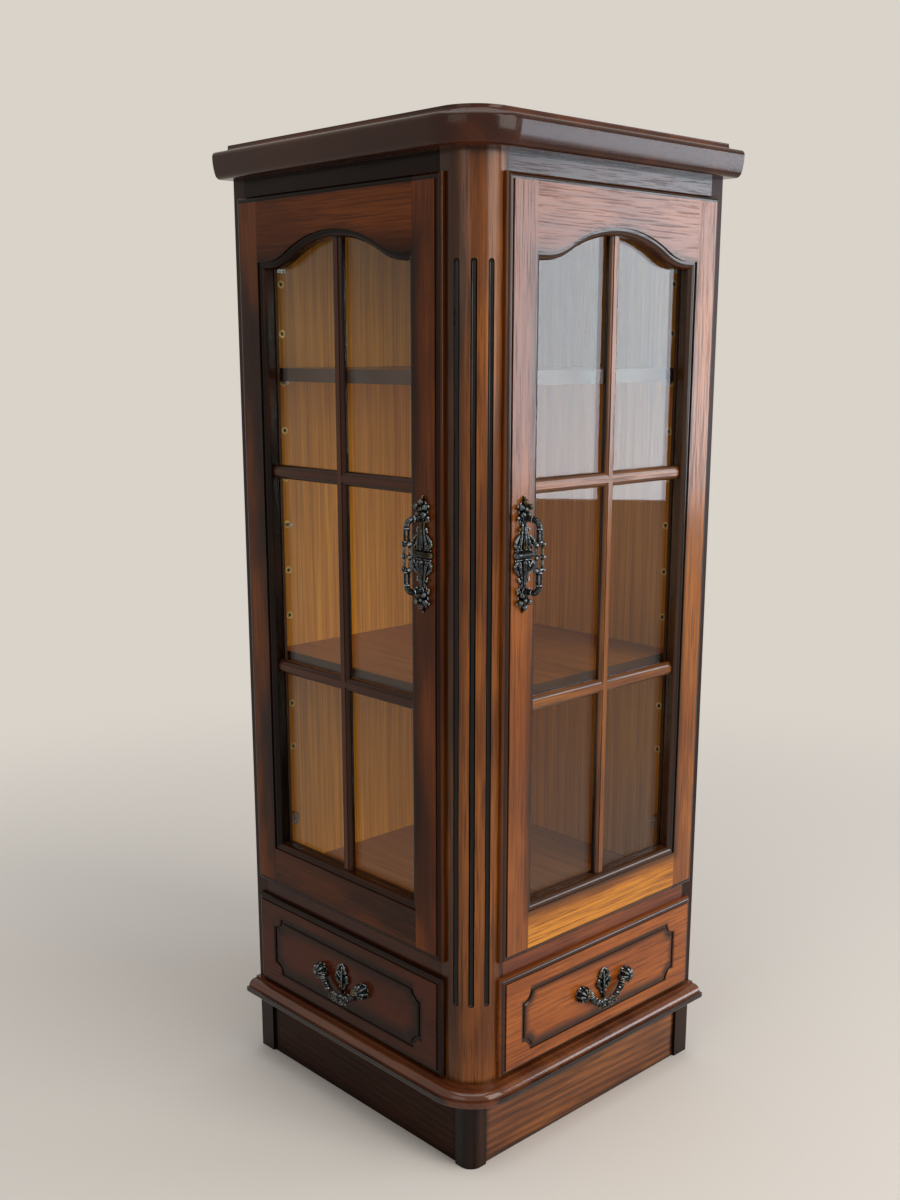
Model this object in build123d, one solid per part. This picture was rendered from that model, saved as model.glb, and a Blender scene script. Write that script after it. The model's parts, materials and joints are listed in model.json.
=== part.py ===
from build123d import *
from math import cos, radians, sin, sqrt
import os

# A corner display cabinet: a square carcase with its two back sides against the room walls,
# a rounded fluted post at the front corner, and on each of the two front sides a lipped
# arched glass door over a lipped drawer. Millimetres, +Z up, standing on z = 0.
# The front corner points to +X and -Y. "Right" is the side that faces +X, "left" faces -Y.

# Carcase
side = 418.0
post_width = 50.0
post_radius = 38.0
wall_thickness = 22.0
plinth_height = 87.0
base_thickness = 19.0
carcase_top = 1150.0
top_thickness = 40.0
board_thickness = 18.0
front_board_thickness = 18.0

# Flutes in the post
flute_radius = 3.5
flute_depth = 3.0
flute_step_angle = 28.5
flute_bottom = 205.0
flute_top_distance = 107.0

# Profile of the top board, as steps outwards from the carcase and down from the top
top_overhang = 29.5
top_flat_overhang = 6.5
top_cove_radius = 6.0
top_cove_lip = 1.5
top_bead_step = 1.5
top_shoulder_radius = 6.0
top_belly_radius = 60.0
top_lower_radius = 8.0

# Profile of the base board
base_overhang = 23.5
base_step_overhang = 7.0
base_step_height = 2.5
base_step_ledge = 3.0
base_roll_drop = 7.0
base_roll_reach = 9.5
base_nose_radius = 3.0

# Plinth
plinth_post_width = 26.0
plinth_post_radius = 16.0
plinth_board_recess = 3.5
plinth_board_thickness = 18.0

# Openings behind the doors and drawers
door_opening_bottom = 264.0
frieze_height = 29.0
drawer_opening_top = 227.0
drawer_bottom_gap = 3.0

# Doors and drawer fronts
lip_gap = 0.4
lip_thickness = 9.0
rest_thickness = 14.0
lip_overlap_post = 8.0
lip_overlap_wall = 7.0
lip_overlap_height = 8.0
lock_gap = 2.0
hinge_gap = 1.0
height_gap = 2.0
edge_roll_radius = 5.0
edge_step = 1.5
edge_mould_width = 7.4

# Door frame
stile_width = 42.0
bottom_rail_width = 53.0
arch_shoulder_drop = 77.0
arch_rise = 31.0
arch_flat = 16.0
arch_hollow_radius = 78.0
sticking_width = 8.5
sticking_ledge = 2.0
sticking_step = 1.8
glass_depth = 16.5
glass_thickness = 3.0
glass_side_gap = 1.0
bead_width = 8.0
muntin_width = 17.0
muntin_side_height = 2.2
muntin_roll_radius = 5.0
muntin_rows = 3

# Concealed hinges
hinge_inset = 80.0
cup_radius = 13.0
cup_fit = 0.05
cup_depth = 11.0
cup_wall = 1.2
cup_edge_distance = 16.5
cup_flange_width = 31.0
cup_flange_height = 46.0
cup_flange_thickness = 1.2
hinge_arm_gap = 0.5
hinge_arm_length = 26.0
hinge_arm_height = 14.0
hinge_plate_length = 24.0
hinge_plate_height = 32.0
hinge_plate_thickness = 2.0
hinge_arm_reach = 22.0

# Door pulls
pull_height_centre = 733.0
pull_half_length = 64.5
pull_plate_thickness = 2.2
pull_band_half_height = 4.0
pull_band_half_width = 13.0
pull_band_thickness = 4.0
pull_flower_offset = 49.0
pull_flower_radius = 8.5
pull_button_radius = 3.0
pull_post_offset = 40.0
pull_stand_off = 25.0
pull_bar_radius = 3.2
pull_bend_radius = 8.0
pull_cage_half_height = 14.0
pull_collar_width = 11.0
pull_collar_height = 3.6
pull_rod_radius = 1.4

# Drawer pulls
handle_height = 171.0
handle_half_spacing = 41.0
handle_foot_half_width = 9.0
handle_foot_half_height = 13.0
handle_foot_thickness = 3.0
handle_neck_radius = 4.0
handle_knob_radius = 6.5
handle_stand_off = 7.5
handle_leaf_top = 193.0
handle_leaf_bottom = 153.0
handle_leaf_half_width = 9.0
handle_leaf_thickness = 3.0
bail_radius = 3.5
bail_drop = 23.0
bail_side_radius = 18.0
bail_knob_gap = 0.5
bail_pin_radius = 1.6
bail_pin_gap = 0.3
bail_pin_depth = 6.0
bail_centre_radius = 6.0
bail_scroll_radius = 5.0
bail_scroll_offset = 9.0
bail_scroll_half_width = 3.8

# Groove on the drawer fronts
groove_margin_side = 35.0
groove_margin_bottom = 21.0
groove_margin_top = 26.0
groove_scoop_radius = 14.0
groove_width = 4.0
groove_depth = 2.4
groove_chamfer = 1.3

# Drawer boxes
partition_thickness = 12.0
partition_offset = -30.0
drawer_side_gap = 3.0
drawer_back_gap = 8.0
drawer_side_thickness = 10.0
drawer_side_height = 104.0
drawer_back_drop = 8.0
drawer_panel_thickness = 5.0
drawer_panel_height = 10.0
drawer_groove_depth = 5.0
drawer_groove_play = 0.2
runner_width = 12.0
runner_height = 5.0
runner_gap = 0.3

# Shelves, pegs and peg sockets
shelf_thickness = 16.0
shelf_setback = 30.0
shelf_wall_gap = 1.0
shelf_post_gap = 1.0
peg_radius = 2.5
peg_length = 18.0
peg_depth = 9.5
socket_first = 430.0
socket_pitch = 60.0
socket_rows = 11
lower_shelf_rows_up = 2
upper_shelf_rows_up = 8
spare_peg_rows_up = 5
socket_front_distance = 50.0
socket_rear_distance = 50.0
socket_post_distance = 15.0
socket_radius = 3.5
socket_fit = 0.05
socket_depth = 10.0
socket_flange_radius = 4.75
socket_flange_thickness = 0.6

# Derived places
half = side / 2
flute_top = carcase_top - flute_top_distance
door_opening_top = carcase_top - frieze_height
base_top = plinth_height + base_thickness
top_of_all = carcase_top + top_thickness
face = lip_gap + lip_thickness
back = lip_gap - rest_thickness
inner_wall = side - wall_thickness
lip_start = post_width - lip_overlap_post
lip_end = inner_wall + lip_overlap_wall
rest_start = post_width + lock_gap
rest_end = inner_wall - hinge_gap
door_bottom = door_opening_bottom - lip_overlap_height
door_top = door_opening_top + lip_overlap_height
drawer_front_bottom = base_top + drawer_bottom_gap
drawer_front_top = drawer_opening_top + lip_overlap_height
light_start = lip_start + stile_width
light_end = lip_end - stile_width
light_centre = (light_start + light_end) / 2
light_bottom = door_bottom + bottom_rail_width
shoulder = door_top - arch_shoulder_drop
crest = shoulder + arch_rise
glass_front = face - glass_depth
glass_back = glass_front - glass_thickness
pocket_top = crest + glass_side_gap
ledge = face - sticking_step
roll = sticking_width - sticking_ledge
pull_reach = face + pull_stand_off + pull_collar_width / 2
reach = max(top_overhang, pull_reach)
shift = reach / 2

cut_margin = 1.0

parts = {}


# Helpers for solids on the right side, with u along the side from the front corner,
# p outwards from the carcase plane and z up
def block(x0, x1, y0, y1, z0, z1):
    middle = Pos((x0 + x1) / 2, (y0 + y1) / 2, (z0 + z1) / 2)
    return middle * Box(x1 - x0, y1 - y0, z1 - z0)


def side_block(u0, u1, p0, p1, z0, z1):
    return block(half + p0, half + p1, u0 - half, u1 - half, z0, z1)


def plane_facing_out(p):
    return Plane(origin=(half + p, -half, 0), x_dir=(0, 1, 0), z_dir=(1, 0, 0))


def plane_across_height(z):
    return Plane(origin=(half, -half, z), x_dir=(0, 1, 0), z_dir=(0, 0, -1))


def plane_across_side(u):
    return Plane(origin=(half, u - half, 0), x_dir=(0, 0, 1), z_dir=(0, 1, 0))


def outline(start, *moves):
    # Each move is the end of a line, or the end and the centre of an arc
    edges = []
    here = Vector(*start)
    for move in moves:
        if isinstance(move[0], tuple):
            end = Vector(*move[0])
            centre = Vector(*move[1])
            swing = (here - centre) + (end - centre)
            middle = centre + swing.normalized() * (here - centre).length
            edges.append(Edge.make_three_point_arc(here, middle, end))
        else:
            end = Vector(*move)
            edges.append(Edge.make_line(here, end))
        here = end
    if (here - Vector(*start)).length > 0.001:
        edges.append(Edge.make_line(here, Vector(*start)))
    return Face(Wire(edges))


def facing(flat, p0, p1):
    return extrude(plane_facing_out(p0) * flat, amount=p1 - p0, dir=(1, 0, 0))


def upright(flat, z0, z1):
    return extrude(plane_across_height(z0) * flat, amount=z1 - z0, dir=(0, 0, 1))


def lengthways(flat, u0, u1):
    return extrude(plane_across_side(u0) * flat, amount=u1 - u0, dir=(0, 1, 0))


def left_of(solid):
    return mirror(solid, about=Plane(origin=(0, 0, 0), z_dir=(1, 1, 0)))


def add_pair(name, solid):
    parts["right_" + name] = solid
    parts["left_" + name] = left_of(solid)


def group(solids):
    return Compound([piece for solid in solids for piece in solid.solids()])


# Board with a moulded edge on both front sides and round the front corner
def moulded_board(profile, z0, z1):
    # The profile runs outwards from the centre of the post's rounding: steps (out, z)
    inner = -post_radius
    flat = outline((inner, z0), *profile, (inner, z1))
    turn_x = half - post_radius
    turn_y = -half + post_radius
    out_right = Plane(origin=(half, turn_y, 0), x_dir=(1, 0, 0), z_dir=(0, -1, 0))
    right_run = extrude(out_right * flat, amount=half - turn_y, dir=(0, 1, 0))
    corner = revolve(out_right * flat, axis=Axis((turn_x, turn_y, 0), (0, 0, 1)), revolution_arc=-90)
    core = block(-half, turn_x, turn_y, half, z0, z1)
    return core + right_run + corner + left_of(right_run)


def top_profile():
    cove_start = top_of_all - top_cove_lip
    cove_out = top_flat_overhang + top_cove_radius
    cove_end = cove_start - top_cove_radius
    bead = cove_end - top_bead_step
    shoulder_out = top_overhang - top_shoulder_radius
    # The edge bellies out to its full reach at the shoulder and runs in again to the lower rounding
    belly_out = top_overhang - top_belly_radius
    belly_z = bead - top_shoulder_radius
    lower_z = carcase_top + top_lower_radius
    swing = top_belly_radius - top_lower_radius
    lower_out = belly_out + sqrt(swing ** 2 - (belly_z - lower_z) ** 2)
    joint_share = top_belly_radius / swing
    joint_out = belly_out + (lower_out - belly_out) * joint_share
    joint_z = belly_z + (lower_z - belly_z) * joint_share
    return [
        (lower_out, carcase_top),
        ((joint_out, joint_z), (lower_out, lower_z)),
        ((top_overhang, belly_z), (belly_out, belly_z)),
        ((shoulder_out, bead), (shoulder_out, belly_z)),
        (cove_out, bead),
        (cove_out, cove_end),
        ((top_flat_overhang, cove_start), (cove_out, cove_start)),
        (top_flat_overhang, top_of_all),
    ]


def base_profile():
    step_z = base_top - base_step_height
    roll_start = base_step_overhang + base_step_ledge
    roll_end = roll_start + base_roll_reach
    roll_z = step_z - base_roll_drop
    bend = (base_roll_reach ** 2 - base_roll_drop ** 2) / (2 * base_roll_drop)
    nose_out = base_overhang - base_nose_radius
    low = plinth_height + base_nose_radius
    return [
        (nose_out, plinth_height),
        ((base_overhang, low), (nose_out, low)),
        (base_overhang, roll_z - base_step_height / 2),
        (roll_end, roll_z - base_step_height / 2),
        (roll_end, roll_z),
        ((roll_start, step_z), (roll_start, step_z - base_roll_drop - bend)),
        (base_step_overhang, step_z),
        (base_step_overhang, base_top),
    ]


parts["top_board"] = moulded_board(top_profile(), carcase_top, top_of_all)
parts["base_board"] = moulded_board(base_profile(), plinth_height, base_top)


# Front post with three stopped flutes
def rounded_post(width, radius, z0, z1):
    square = block(half - width, half, -half, -half + width, z0, z1)
    corner_edges = square.edges().filter_by(Axis.Z).sort_by(lambda e: e.center().X - e.center().Y)
    return fillet(corner_edges[-1], radius)


def flute(angle):
    reach_out = post_radius - flute_depth + flute_radius
    x = half - post_radius + reach_out * cos(radians(angle))
    y = -half + post_radius + reach_out * sin(radians(angle))
    low = flute_bottom + flute_radius
    high = flute_top - flute_radius
    groove = Pos(x, y, (low + high) / 2) * Cylinder(flute_radius, high - low)
    return groove + Pos(x, y, low) * Sphere(flute_radius) + Pos(x, y, high) * Sphere(flute_radius)


front_post = rounded_post(post_width, post_radius, base_top, carcase_top)
for angle in (-45 - flute_step_angle, -45, -45 + flute_step_angle):
    front_post -= flute(angle)

# Sockets: each one is a place, and the direction that points out of the wood
socket_heights = [socket_first + row * socket_pitch for row in range(socket_rows)]
inner_face = half - wall_thickness
front_line = half - socket_front_distance
rear_line = -half + wall_thickness + socket_rear_distance
post_line = half - post_width + socket_post_distance
post_face = -half + post_width
right_columns = [
    ((front_line, inner_face), (0, -1, 0)),
    ((rear_line, inner_face), (0, -1, 0)),
    ((post_line, post_face), (0, 1, 0)),
]


def along(place, direction, height, start, length, radius):
    origin = (place[0] + direction[0] * start, place[1] + direction[1] * start, height)
    seat = Plane(origin=origin, z_dir=direction)
    return extrude(seat * Circle(radius), amount=length, dir=direction)


def socket(place, direction, height):
    barrel = along(place, direction, height, -socket_depth, socket_depth, socket_radius)
    flange = along(place, direction, height, 0, socket_flange_thickness, socket_flange_radius)
    hole_length = socket_depth + socket_flange_thickness
    hole = along(place, direction, height, -socket_depth, hole_length, peg_radius + socket_fit)
    return barrel + flange - hole


def socket_hole(place, direction, height):
    return along(place, direction, height, -socket_depth, socket_depth, socket_radius)


def peg(place, direction, height):
    return along(place, direction, height, -peg_depth, peg_length, peg_radius)


right_sockets = []
right_wall_holes = []
right_post_holes = []
for place, direction in right_columns:
    holes = right_post_holes if direction[1] > 0 else right_wall_holes
    for height in socket_heights:
        right_sockets.append(socket(place, direction, height))
        holes.append(socket_hole(place, direction, height))

right_pegs = []
for place, direction in right_columns:
    for row in (lower_shelf_rows_up, upper_shelf_rows_up):
        right_pegs.append(peg(place, direction, socket_heights[row]))
spare_place, spare_direction = right_columns[0]
spare_peg = left_of(peg(spare_place, spare_direction, socket_heights[spare_peg_rows_up]))

parts["peg_sockets"] = group(right_sockets + [left_of(piece) for piece in right_sockets])
parts["shelf_pegs"] = group(right_pegs + [left_of(piece) for piece in right_pegs] + [spare_peg])

for hole in right_post_holes:
    front_post -= hole
    front_post -= left_of(hole)
parts["front_post"] = front_post

# Back walls: the left one runs through to the back corner, the right one meets it
right_wall = block(-half + wall_thickness, half, inner_face, half, base_top, carcase_top)
left_wall = block(-half, -half + wall_thickness, -half, half, base_top, carcase_top)
for hole in right_wall_holes:
    right_wall -= hole
    left_wall -= left_of(hole)
parts["right_wall"] = right_wall
parts["left_wall"] = left_wall

# Friezes over the doors and rails between the doors and the drawers
frieze = side_block(
    post_width, inner_wall, -front_board_thickness, 0, door_opening_top, carcase_top,
)
add_pair("frieze", frieze)
add_pair(
    "drawer_rail",
    side_block(post_width, inner_wall, -front_board_thickness, 0, drawer_opening_top, door_opening_bottom),
)

# Floor of the glazed part, notched round the post
board_edge = half - front_board_thickness
bottom_board = block(
    -half + wall_thickness, board_edge, -board_edge, inner_face,
    door_opening_bottom - board_thickness, door_opening_bottom,
)
post_notch = block(half - post_width, half, -half, -half + post_width, base_top, carcase_top)
parts["bottom_board"] = bottom_board - post_notch


# Shelves on their pegs
def shelf(row):
    low = socket_heights[row] + peg_radius
    edge = half - shelf_setback
    wall_side = inner_face - shelf_wall_gap
    notch = half - post_width - shelf_post_gap
    plate = block(-wall_side, edge, -edge, wall_side, low, low + shelf_thickness)
    return plate - block(notch, half, -half, -notch, low - cut_margin, low + shelf_thickness + cut_margin)


parts["lower_shelf"] = shelf(lower_shelf_rows_up)
parts["upper_shelf"] = shelf(upper_shelf_rows_up)

# Plinth
parts["plinth_front_post"] = rounded_post(plinth_post_width, plinth_post_radius, 0, plinth_height)
add_pair(
    "plinth_board",
    side_block(
        plinth_post_width, side - plinth_post_width,
        -plinth_board_recess - plinth_board_thickness, -plinth_board_recess, 0, plinth_height,
    ),
)
end_block = side_block(side - plinth_post_width, side, -plinth_post_width, 0, 0, plinth_height)
add_pair("plinth_end_block", end_block)
rear_edge = half - plinth_post_width
parts["left_plinth_rear_board"] = block(
    -half, -half + plinth_board_thickness, -rear_edge, half, 0, plinth_height,
)
parts["right_plinth_rear_board"] = block(
    -half + plinth_board_thickness, rear_edge, half - plinth_board_thickness, half, 0, plinth_height,
)


# Lipped and moulded edge that the doors and the drawer fronts share
def lipped_outline(lip0, lip1, rest0, rest1):
    step = face - edge_step
    low = step - edge_roll_radius
    return outline(
        (rest0, back), (rest1, back), (rest1, lip_gap), (lip1, lip_gap), (lip1, low),
        ((lip1 - edge_roll_radius, step), (lip1 - edge_roll_radius, low)),
        (lip1 - edge_mould_width, step), (lip1 - edge_mould_width, face),
        (lip0 + edge_mould_width, face), (lip0 + edge_mould_width, step),
        (lip0 + edge_roll_radius, step),
        ((lip0, low), (lip0 + edge_roll_radius, low)),
        (lip0, lip_gap), (rest0, lip_gap),
    )


def lipped_panel(z0, z1, rest_z0, rest_z1, rest_u1):
    across = upright(lipped_outline(lip_start, lip_end, rest_start, rest_u1), z0, z1)
    along_side = lengthways(lipped_outline(z0, z1, rest_z0, rest_z1), lip_start, lip_end)
    return across & along_side


# Door frame
door_panel = lipped_panel(
    door_bottom, door_top,
    door_opening_bottom + height_gap, door_opening_top - height_gap, rest_end,
)
sight_start = light_start + sticking_width
sight_end = light_end - sticking_width
sight_bottom = light_bottom + sticking_width
sight_shoulder = shoulder - sticking_width


def sticking_outline(edge, inwards):
    # Ledge, quarter round and flat reveal, from the edge of the light inwards
    sight = edge + inwards * sticking_width
    turn = edge + inwards * sticking_ledge
    return outline(
        (edge, glass_front), (sight, glass_front), (sight, ledge - roll),
        ((turn, ledge), (turn, ledge - roll)), (edge, ledge),
    )


stile_keep = outline(
    (light_start, light_bottom), (sight_start, sight_bottom),
    (sight_start, sight_shoulder), (light_start, shoulder),
)
lock_strip = upright(sticking_outline(light_start, 1), light_bottom, shoulder)
lock_strip &= facing(stile_keep, back, face)
lock_stile = door_panel & side_block(
    lip_start - cut_margin, light_start, back - cut_margin, face + cut_margin, door_bottom, door_top,
)
add_pair("door_lock_stile", lock_stile + lock_strip)

hinge_keep = outline(
    (light_end, light_bottom), (sight_end, sight_bottom),
    (sight_end, sight_shoulder), (light_end, shoulder),
)
hinge_strip = upright(sticking_outline(light_end, -1), light_bottom, shoulder)
hinge_strip &= facing(hinge_keep, back, face)
hinge_stile = door_panel & side_block(light_end, lip_end + 1, back - 1, face + 1, door_bottom, door_top)
hinge_stile += hinge_strip

rail_keep = outline(
    (light_start, light_bottom), (light_end, light_bottom),
    (sight_end, sight_bottom), (sight_start, sight_bottom),
)
rail_strip = lengthways(sticking_outline(light_bottom, 1), light_start, light_end)
rail_strip &= facing(rail_keep, back, face)
bottom_rail = door_panel & side_block(
    light_start, light_end, back - 1, face + 1, door_bottom, light_bottom,
)
add_pair("door_bottom_rail", bottom_rail + rail_strip)

# Arch over the light: a flat shoulder, a hollow and a round crest, mirrored
arch_run = light_centre - light_start - arch_flat
arch_radii = (arch_run ** 2 + arch_rise ** 2) / (2 * arch_rise)
crest_radius = arch_radii - arch_hollow_radius
crest_centre_z = crest - crest_radius
hollow_centre_z = shoulder + arch_hollow_radius
turn_share = arch_hollow_radius / arch_radii


def arch_moves(drop, reverse=False):
    # The curve at a distance below the edge of the light
    hollow = arch_hollow_radius + drop
    round_ = crest_radius - drop
    reach_u = arch_run * hollow / arch_radii
    reach_z = (crest_centre_z - hollow_centre_z) * hollow / arch_radii
    left_u = light_start + arch_flat
    right_u = light_end - arch_flat
    left_turn = (left_u + reach_u, hollow_centre_z + reach_z)
    right_turn = (right_u - reach_u, hollow_centre_z + reach_z)
    top = (light_centre, crest_centre_z + round_)
    low = shoulder - drop
    if reverse:
        return [
            ((right_turn), (right_u, hollow_centre_z)), (top, (light_centre, crest_centre_z)),
            (left_turn, (light_centre, crest_centre_z)), ((left_u, low), (left_u, hollow_centre_z)),
        ]
    return [
        (left_turn, (left_u, hollow_centre_z)), (top, (light_centre, crest_centre_z)),
        (right_turn, (light_centre, crest_centre_z)), ((right_u, low), (right_u, hollow_centre_z)),
    ]


above_arch = outline(
    (light_start, door_top + 1), (light_start, shoulder), (light_start + arch_flat, shoulder),
    *arch_moves(0), (light_end, shoulder), (light_end, door_top + 1),
)
top_rail = door_panel & facing(above_arch, back - 1, face + 1)
top_rail -= side_block(
    light_start, light_end, back - 1, glass_front, shoulder - 1, pocket_top,
)
arch_band = outline(
    (light_start, shoulder), (light_start + arch_flat, shoulder), *arch_moves(0),
    (light_end, shoulder), (light_end, sight_shoulder), (light_end - arch_flat, sight_shoulder),
    *arch_moves(sticking_width, reverse=True), (light_start, sight_shoulder),
)
arch_blank = facing(arch_band, glass_front, ledge)


def is_arch_front_edge(edge):
    middle = edge @ 0.5
    on_front = abs(edge.center().X - half - ledge) < 0.01
    ends = [edge @ 0, edge @ 1]
    flat_length = abs(ends[0].Y - ends[1].Y) > 1
    return on_front and flat_length and not on_upper_curve(middle)


def on_upper_curve(point):
    u = point.Y + half
    z = point.Z
    if abs(z - shoulder) < 0.01:
        return True
    from_hollow_left = sqrt((u - light_start - arch_flat) ** 2 + (z - hollow_centre_z) ** 2)
    from_hollow_right = sqrt((u - light_end + arch_flat) ** 2 + (z - hollow_centre_z) ** 2)
    from_crest = sqrt((u - light_centre) ** 2 + (z - crest_centre_z) ** 2)
    near_left = abs(from_hollow_left - arch_hollow_radius) < 0.01
    near_right = abs(from_hollow_right - arch_hollow_radius) < 0.01
    return near_left or near_right or abs(from_crest - crest_radius) < 0.01


arch_edges = [edge for edge in arch_blank.edges() if is_arch_front_edge(edge)]
arch_strip = fillet(arch_edges, roll)
arch_keep = outline(
    (light_start, shoulder), (sight_start, sight_shoulder), (sight_end, sight_shoulder),
    (light_end, shoulder), (light_end, door_top), (light_start, door_top),
)
arch_strip &= facing(arch_keep, back, face)
add_pair("door_top_rail", top_rail + arch_strip)


# Glazing bars, glass and the beads behind it
def muntin_outline(centre):
    wide = muntin_width / 2
    narrow = wide - muntin_roll_radius
    low = glass_front + muntin_side_height
    high = low + muntin_roll_radius
    top = ledge - roll
    return outline(
        (centre - wide, glass_front), (centre + wide, glass_front), (centre + wide, low),
        ((centre + narrow, high), (centre + narrow, low)), (centre + narrow, top),
        (centre - narrow, top), (centre - narrow, high),
        ((centre - wide, low), (centre - narrow, low)),
    )


vertical_muntin = upright(muntin_outline(light_centre), sight_bottom, crest)
vertical_muntin -= arch_blank
vertical_muntin -= facing(above_arch, back - 1, face + 1)
add_pair("door_vertical_muntin", vertical_muntin)

pane_height = (sight_shoulder - sight_bottom - (muntin_rows - 1) * muntin_width) / muntin_rows
cross_muntins = []
for row in range(1, muntin_rows):
    height = sight_bottom + row * (pane_height + muntin_width) - muntin_width / 2
    bar = lengthways(muntin_outline(height), sight_start, sight_end) - vertical_muntin
    cross_muntins.append(bar)
add_pair("door_cross_muntins", group(cross_muntins))

add_pair(
    "door_glass",
    side_block(
        light_start + glass_side_gap, light_end - glass_side_gap, glass_back, glass_front,
        light_bottom + glass_side_gap, crest,
    ),
)
bead_top = pocket_top - bead_width
beads = [
    side_block(light_start, light_end, back, glass_back, light_bottom, light_bottom + bead_width),
    side_block(light_start, light_end, back, glass_back, bead_top, pocket_top),
    side_block(light_start, light_start + bead_width, back, glass_back, light_bottom + bead_width, bead_top),
    side_block(light_end - bead_width, light_end, back, glass_back, light_bottom + bead_width, bead_top),
]
add_pair("door_glass_beads", group(beads))

# Concealed hinges near the top and the bottom of each door
cup_u = rest_end - cup_edge_distance
cup_heights = [door_bottom + hinge_inset, door_top - hinge_inset]
cups = []
arms = []
for height in cup_heights:
    rear = Plane(origin=(half + back, cup_u - half, height), z_dir=(1, 0, 0))
    hinge_stile -= extrude(rear * Circle(cup_radius), amount=cup_depth, dir=(1, 0, 0))
    shell = extrude(rear * Circle(cup_radius - cup_fit), amount=cup_depth - cup_fit, dir=(1, 0, 0))
    flange = side_block(
        cup_u - cup_flange_width / 2, cup_u + cup_flange_width / 2,
        back - cup_flange_thickness, back,
        height - cup_flange_height / 2, height + cup_flange_height / 2,
    )
    mouth = Plane(origin=(half + back - cup_flange_thickness, cup_u - half, height), z_dir=(1, 0, 0))
    hollow = cup_flange_thickness + cup_depth - cup_fit - cup_wall
    hole = extrude(mouth * Circle(cup_radius - cup_fit - cup_wall), amount=hollow, dir=(1, 0, 0))
    cups.append(shell + flange - hole)
    arm_front = back - cup_flange_thickness - hinge_arm_gap
    arm = side_block(
        inner_wall - hinge_arm_reach, inner_wall, arm_front - hinge_arm_length, arm_front,
        height - hinge_arm_height / 2, height + hinge_arm_height / 2,
    )
    plate = side_block(
        inner_wall - hinge_plate_thickness, inner_wall,
        arm_front - hinge_arm_length / 2 - hinge_plate_length / 2,
        arm_front - hinge_arm_length / 2 + hinge_plate_length / 2,
        height - hinge_plate_height / 2, height + hinge_plate_height / 2,
    )
    arms.append(arm + plate)
add_pair("door_hinge_stile", hinge_stile)
add_pair("door_hinge_cups", group(cups))
add_pair("hinge_arms", group(arms))

# Door pulls: an ornamental plate with a standing grip that has an open cage at its middle
pull_u = (lip_start + edge_mould_width + light_start) / 2
plate_steps = [
    (64.5, 0.0), (58.0, 2.5), (54.5, 8.0), (49.0, 10.5), (43.0, 8.5), (39.0, 5.0), (34.0, 4.2),
    (26.0, 4.8), (20.0, 7.5), (14.0, 11.5), (9.0, 13.8), (5.0, 14.0),
]
stretch = pull_half_length / plate_steps[0][0]
upper = [(pull_u + wide, pull_height_centre + up * stretch) for up, wide in plate_steps]
lower = [(pull_u + wide, pull_height_centre - up * stretch) for up, wide in reversed(plate_steps)]
far_low = [(pull_u - wide, pull_height_centre - up * stretch) for up, wide in plate_steps[1:]]
far_high = [(pull_u - wide, pull_height_centre + up * stretch) for up, wide in reversed(plate_steps[1:])]
plate_face = outline(*upper, *lower, *far_low, *far_high)
plate_top = face + pull_plate_thickness
pull_plate = facing(plate_face, face, plate_top)
pull_plate += side_block(
    pull_u - pull_band_half_width, pull_u + pull_band_half_width, face, face + pull_band_thickness,
    pull_height_centre - pull_band_half_height, pull_height_centre + pull_band_half_height,
)
for way in (-1, 1):
    flower = plane_facing_out(plate_top) * Pos(pull_u, pull_height_centre + way * pull_flower_offset)
    pull_plate += extrude(flower * Circle(pull_flower_radius), amount=1.4, dir=(1, 0, 0))
    pull_plate += extrude(flower * Circle(pull_button_radius), amount=2.8, dir=(1, 0, 0))

grip_out = face + pull_stand_off


def grip_end(way):
    start = (half + plate_top, pull_u - half, pull_height_centre + way * pull_post_offset)
    bend = (half + grip_out - pull_bend_radius, start[1], start[2])
    turned = (half + grip_out, start[1], start[2] - way * pull_bend_radius)
    end = (half + grip_out, start[1], pull_height_centre + way * pull_cage_half_height)
    share = sqrt(0.5)
    middle = (
        half + grip_out - pull_bend_radius * (1 - share), start[1],
        start[2] - way * pull_bend_radius * (1 - share),
    )
    path = Wire([
        Edge.make_line(start, bend),
        Edge.make_three_point_arc(bend, middle, turned),
        Edge.make_line(turned, end),
    ])
    return sweep(Plane(origin=start, z_dir=(1, 0, 0)) * Circle(pull_bar_radius), path=path)


grip = grip_end(1) + grip_end(-1)
for level in (-1, 0, 1):
    centre_z = pull_height_centre + level * pull_cage_half_height
    collar = Pos(half + grip_out, pull_u - half, centre_z) * Box(
        pull_collar_width, pull_collar_width, pull_collar_height,
    )
    grip += fillet(collar.edges().filter_by(Axis.Z), pull_collar_width / 4)
rod_offset = pull_collar_width / 2 - pull_rod_radius
for out in (-1, 1):
    for across in (-1, 1):
        rod_place = Pos(
            half + grip_out + out * rod_offset, pull_u - half + across * rod_offset, pull_height_centre,
        )
        grip += rod_place * Cylinder(pull_rod_radius, 2 * pull_cage_half_height)
add_pair("door_pull_plate", pull_plate - grip)
add_pair("door_pull_grip", grip)


# Drawer front with its scooped groove
def scooped_outline(u0, u1, z0, z1, inset):
    radius = groove_scoop_radius + inset
    cut = sqrt(radius ** 2 - inset ** 2)
    a0 = u0 + inset
    a1 = u1 - inset
    b0 = z0 + inset
    b1 = z1 - inset
    return outline(
        (u0 + cut, b1), (u1 - cut, b1), ((a1, z1 - cut), (u1, z1)),
        (a1, z0 + cut), ((u1 - cut, b0), (u1, z0)), (u0 + cut, b0),
        ((a0, z0 + cut), (u0, z0)), (a0, z1 - cut), ((u0 + cut, b1), (u0, z1)),
    )


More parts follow.
